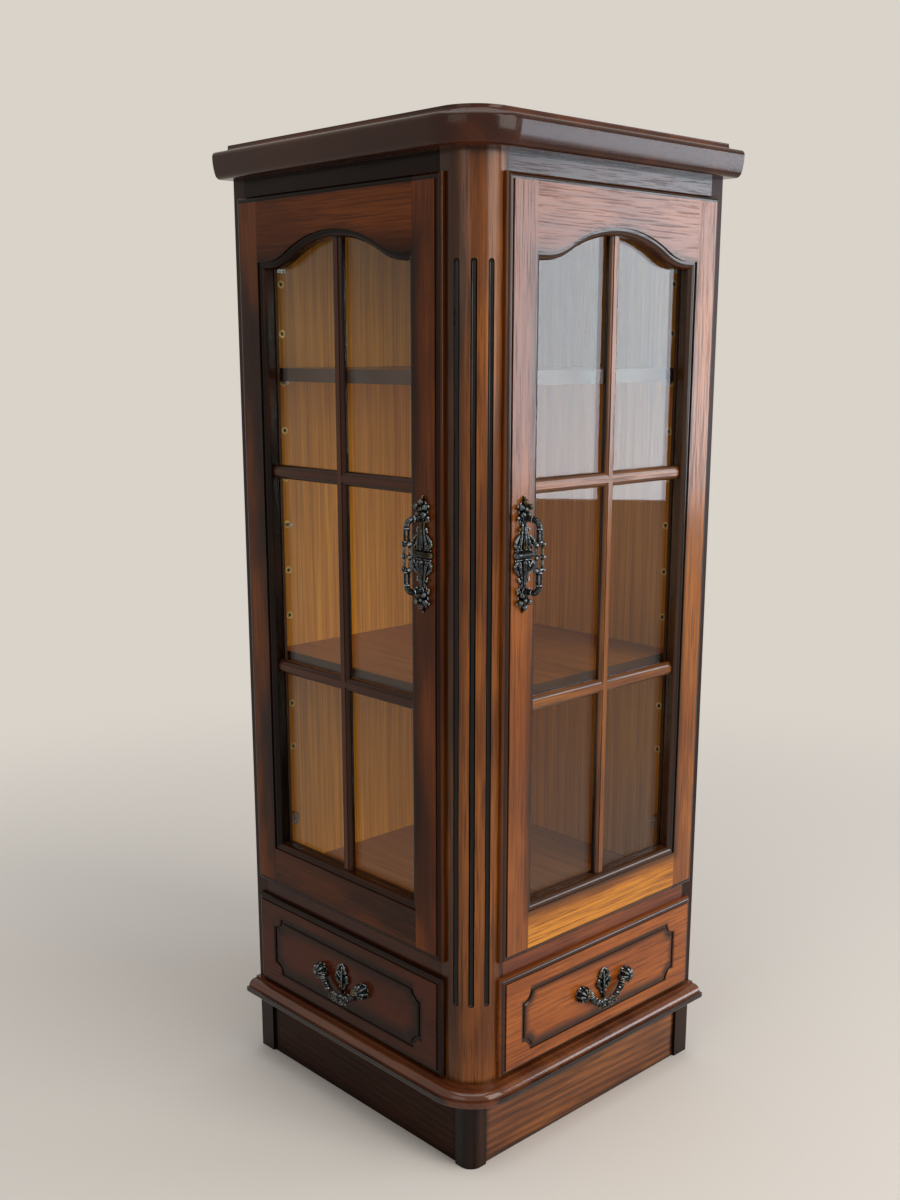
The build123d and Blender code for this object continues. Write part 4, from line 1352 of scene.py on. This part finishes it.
def settle_pair(made: bpy.types.Object, node: str, body: str) -> None:
    """Copies a right-side casting to the left, dresses both and makes them ride.

    Args:
        made: the right side's casting.
        node: the CAD node's name without its side.
        body: the body's name without its side.
    """
    twin = copy_to_left(made, made.name.replace("right_", "left_", 1))
    for side, piece in ((Side.RIGHT, made), (Side.LEFT, twin)):
        dress(piece, shared(ANTIQUED_CASTING))
        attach(piece, f"{side.value}_{body}")
        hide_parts(f"{side.value}_{node}")
        log.info("%s made, %d faces", piece.name, len(piece.data.polygons))


@dataclass
class Carcase:
    """The fixed boards: top, base, post, walls, friezes, rails, floor, shelves and plinth."""

    def board(self, node: str, grain: Axis, out: Axis, out_sign: int, finish: Any) -> None:
        """Dresses one CAD board.

        Args:
            node: its name.
            grain: the axis of its grain.
            out: the axis that its shown face looks along.
            out_sign: the way along that axis.
            finish: its finish.
        """
        low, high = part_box(node)
        board = Board(low, high, grain, out, out_sign)
        dress(frame["nodes"][node], finish.material(node, board))
        log.info("%s dressed in %s", node, finish.name)

    def side_boards(self, names: dict[str, tuple[bool, Any]]) -> None:
        """Dresses boards that both sides have.

        Args:
            names: board names without their side, each with True if its grain is upright, and
                its finish.
        """
        for name, (upright, finish) in names.items():
            for side in Side:
                out, sign, level = side.axes
                grain = Axis.Z if upright else level
                self.board(f"{side.value}_{name}", grain, out, sign, on_side(finish, side))

    def build(self) -> None:
        """Dresses all the fixed pieces."""
        self.board("top_board", Axis.X, Axis.Z, 1, TOP_OAK)
        self.board("base_board", Axis.X, Axis.Z, 1, BASE_OAK)
        self.board("front_post", Axis.Z, Axis.X, 1, POST_OAK)
        self.side_boards({
            "frieze": (False, FRIEZE_OAK),
            "drawer_rail": (False, SILL_OAK),
            "plinth_board": (False, PLINTH_OAK),
            "plinth_end_block": (True, BLOCK_OAK),
        })
        self.board("plinth_front_post", Axis.Z, Axis.X, 1, BLOCK_OAK)
        self.board("right_plinth_rear_board", Axis.X, Axis.Y, 1, BACK_OAK)
        self.board("left_plinth_rear_board", Axis.Y, Axis.X, -1, BACK_OAK)
        self.board("right_wall", Axis.Z, Axis.X, 1, WALL_VENEER)
        self.board("left_wall", Axis.Z, Axis.Y, -1, WALL_VENEER)
        self.board("bottom_board", Axis.X, Axis.X, 1, FLOOR_VENEER)
        self.board("lower_shelf", Axis.X, Axis.X, 1, SHELF_VENEER)
        self.board("upper_shelf", Axis.X, Axis.X, 1, SHELF_VENEER)
        self.board("drawer_partition", Axis.X, Axis.Y, 1, DRAWER_PINE)
        self.board("right_drawer_runners", Axis.X, Axis.Z, 1, DRAWER_PINE)
        self.board("left_drawer_runners", Axis.Y, Axis.Z, 1, DRAWER_PINE)
        dress(frame["nodes"]["peg_sockets"], shared(SOCKET_BRASS))
        for node in ("shelf_pegs", "right_hinge_arms", "left_hinge_arms"):
            dress(frame["nodes"][node], shared(NICKEL_PLATE))


@dataclass
class Door:
    """One glazed door: its frame, glazing bars, pane, beads and hinge cups."""

    side: Side

    def build(self, carcase: Carcase) -> None:
        """Dresses the door's pieces.

        Args:
            carcase: the boards' own dresser.
        """
        name = self.side.value
        out, sign, level = self.side.axes
        for part, grain, finish in (
            ("lock_stile", Axis.Z, DOOR_OAK), ("hinge_stile", Axis.Z, RAIL_OAK),
            ("top_rail", level, ARCH_OAK), ("bottom_rail", level, GOLD_OAK),
            ("vertical_muntin", Axis.Z, BAR_OAK), ("cross_muntins", level, BAR_OAK),
            ("glass_beads", Axis.Z, BACK_OAK),
        ):
            carcase.board(f"{name}_door_{part}", grain, out, sign, on_side(finish, self.side))
        dress(frame["nodes"][f"{name}_door_glass"], shared(FLOAT_GLASS))
        dress(frame["nodes"][f"{name}_door_hinge_cups"], shared(NICKEL_PLATE))


@dataclass
class Drawer:
    """One drawer: its front and its box."""

    side: Side

    def build(self, carcase: Carcase) -> None:
        """Dresses the drawer's pieces.

        Args:
            carcase: the boards' own dresser.
        """
        name = self.side.value
        out, sign, level = self.side.axes
        front = on_side(DRAWER_OAK, self.side)
        carcase.board(f"{name}_drawer_front", level, out, sign, front)
        carcase.board(f"{name}_drawer_sides", out, Axis.Z, 1, DRAWER_PINE)
        carcase.board(f"{name}_drawer_back", level, Axis.Z, 1, DRAWER_PINE)
        carcase.board(f"{name}_drawer_bottom", level, Axis.Z, 1, DRAWER_PINE)


@dataclass(frozen=True)
class SoftBox:
    """An area lamp.

    Args:
        name: the lamp's name.
        place: where it hangs.
        aim: the point that it looks at.
        size: its width and height.
        watts: its power.
        hex_colour: its colour.
    """

    name: str
    place: tuple[float, float, float]
    aim: tuple[float, float, float]
    size: tuple[float, float]
    watts: float
    hex_colour: str


WINDOW_BOX = SoftBox("window_box", (2.6, 0.5, 1.7), (0, 0, 0.6), (1.6, 2.2), 46.0, "#fffaf2")
FAR_WINDOW = SoftBox("far_window", (2.6, 2.85, 1.02), (0.2, 0, 0.9), (1.3, 1.3), 38.0, "#eaf3ff")
FRONT_BOX = SoftBox("front_box", (0.9, -3.0, 1.9), (0, 0, 0.6), (1.8, 1.8), 12.0, "#fff6ea")
TOP_BOX = SoftBox("top_box", (0.2, -0.2, 3.2), (0, 0, 0.5), (2.2, 2.2), 32.0, "#ffffff")


@dataclass
class Studio:
    """Pale floor, soft lamps, plain backdrop colour and the camera."""

    floor_half: float = 60.0
    floor_hex: str = "#e2dcd4"
    floor_roughness: float = 0.75
    backdrop_hex: str = "#d9d3ca"
    room_hex: str = "#f2f2f4"
    room_strength: float = 0.37
    fade_near: float = 0.55
    fade_far: float = 2.1
    lamps: tuple[SoftBox, ...] = (WINDOW_BOX, FAR_WINDOW, FRONT_BOX, TOP_BOX)
    camera_place: tuple[float, float, float] = (1.19625, -1.17375, 0.9535)
    camera_yaw_deg: float = 46.63
    camera_down_deg: float = 12.95
    lens_mm: float = 40.15
    sensor_mm: float = 36.0
    shift_up: float = 0.046

    def sight(self, tree: Tree) -> Any:
        """Builds an output that is 1 for a camera ray and for a ray in gloss or through glass."""
        ray = add_node(tree, "ShaderNodeLightPath")
        seen = calc(tree, "MAXIMUM", ray.outputs["Is Camera Ray"], ray.outputs["Is Glossy Ray"])
        return calc(tree, "MAXIMUM", seen, ray.outputs["Is Transmission Ray"])

    def add_floor(self) -> None:
        """Lays the floor, which fades into the backdrop's colour far from the cabinet."""
        bpy.ops.object.select_all(action="DESELECT")
        bpy.ops.mesh.primitive_plane_add(size=2 * self.floor_half, location=(0, 0, 0))
        floor = bpy.context.active_object
        floor.name = "studio_floor"
        material, tree, output = new_material("studio_floor")
        near = add_node(tree, "ShaderNodeBsdfPrincipled", None, {
            "Base Color": linear(self.floor_hex), "Roughness": self.floor_roughness})
        far = add_node(tree, "ShaderNodeEmission", None, {
            "Color": linear(self.backdrop_hex), "Strength": 1.0})
        away = calc_vector(tree, "LENGTH", object_place(tree))
        share = calc(tree, "MULTIPLY", fade(tree, away, self.fade_near, self.fade_far), self.sight(tree))
        mix = add_node(tree, "ShaderNodeMixShader", None, {
            "Fac": share, 1: near.outputs["BSDF"], 2: far.outputs["Emission"]})
        tree.links.new(mix.outputs["Shader"], output.inputs["Surface"])
        dress(floor, material)

    def add_world(self) -> None:
        """Sets the soft room light, and the plain colour behind the cabinet."""
        world = bpy.data.worlds.new("studio")
        bpy.context.scene.world = world
        world.use_nodes = True
        tree = world.node_tree
        tree.nodes.clear()
        output = tree.nodes.new("ShaderNodeOutputWorld")
        soft = add_node(tree, "ShaderNodeBackground", None, {
            "Color": linear(self.room_hex), "Strength": self.room_strength})
        shown = add_node(tree, "ShaderNodeBackground", None, {
            "Color": linear(self.backdrop_hex), "Strength": 1.0})
        mix = add_node(tree, "ShaderNodeMixShader", None, {
            "Fac": self.sight(tree), 1: soft.outputs["Background"],
            2: shown.outputs["Background"]})
        tree.links.new(mix.outputs["Shader"], output.inputs["Surface"])

    def add_lamp(self, box: SoftBox) -> None:
        """Hangs one soft box."""
        data = bpy.data.lights.new(box.name, "AREA")
        data.shape = "RECTANGLE"
        data.size, data.size_y = box.size
        data.energy = box.watts
        data.color = linear(box.hex_colour)[:3]
        lamp = bpy.data.objects.new(box.name, data)
        lamp.location = box.place
        way = Vector(box.aim) - Vector(box.place)
        lamp.rotation_euler = way.to_track_quat("-Z", "Y").to_euler()
        bpy.context.scene.collection.objects.link(lamp)

    def add_camera(self) -> None:
        """Sets the camera at the photograph's place."""
        data = bpy.data.cameras.new("camera")
        data.lens = self.lens_mm
        data.sensor_width = self.sensor_mm
        data.shift_y = self.shift_up
        camera = bpy.data.objects.new("camera", data)
        camera.location = self.camera_place
        camera.rotation_euler = (
            math.radians(90 - self.camera_down_deg), 0, math.radians(self.camera_yaw_deg))
        bpy.context.scene.collection.objects.link(camera)
        bpy.context.scene.camera = camera

    def build(self) -> None:
        """Sets up the whole studio."""
        self.add_floor()
        self.add_world()
        for box in self.lamps:
            self.add_lamp(box)
        self.add_camera()
        bpy.context.scene.view_settings.view_transform = "Standard"


def main() -> None:
    """Dresses the cabinet, models its pulls and sets up the studio."""
    logging.basicConfig(level=logging.INFO, format="%(message)s")
    carcase = Carcase()
    carcase.build()
    for side in Side:
        Door(side).build(carcase)
        Drawer(side).build(carcase)
    DoorPull().build()
    DrawerPull().build()
    Studio().build()


if __name__ == "__main__":
    main()
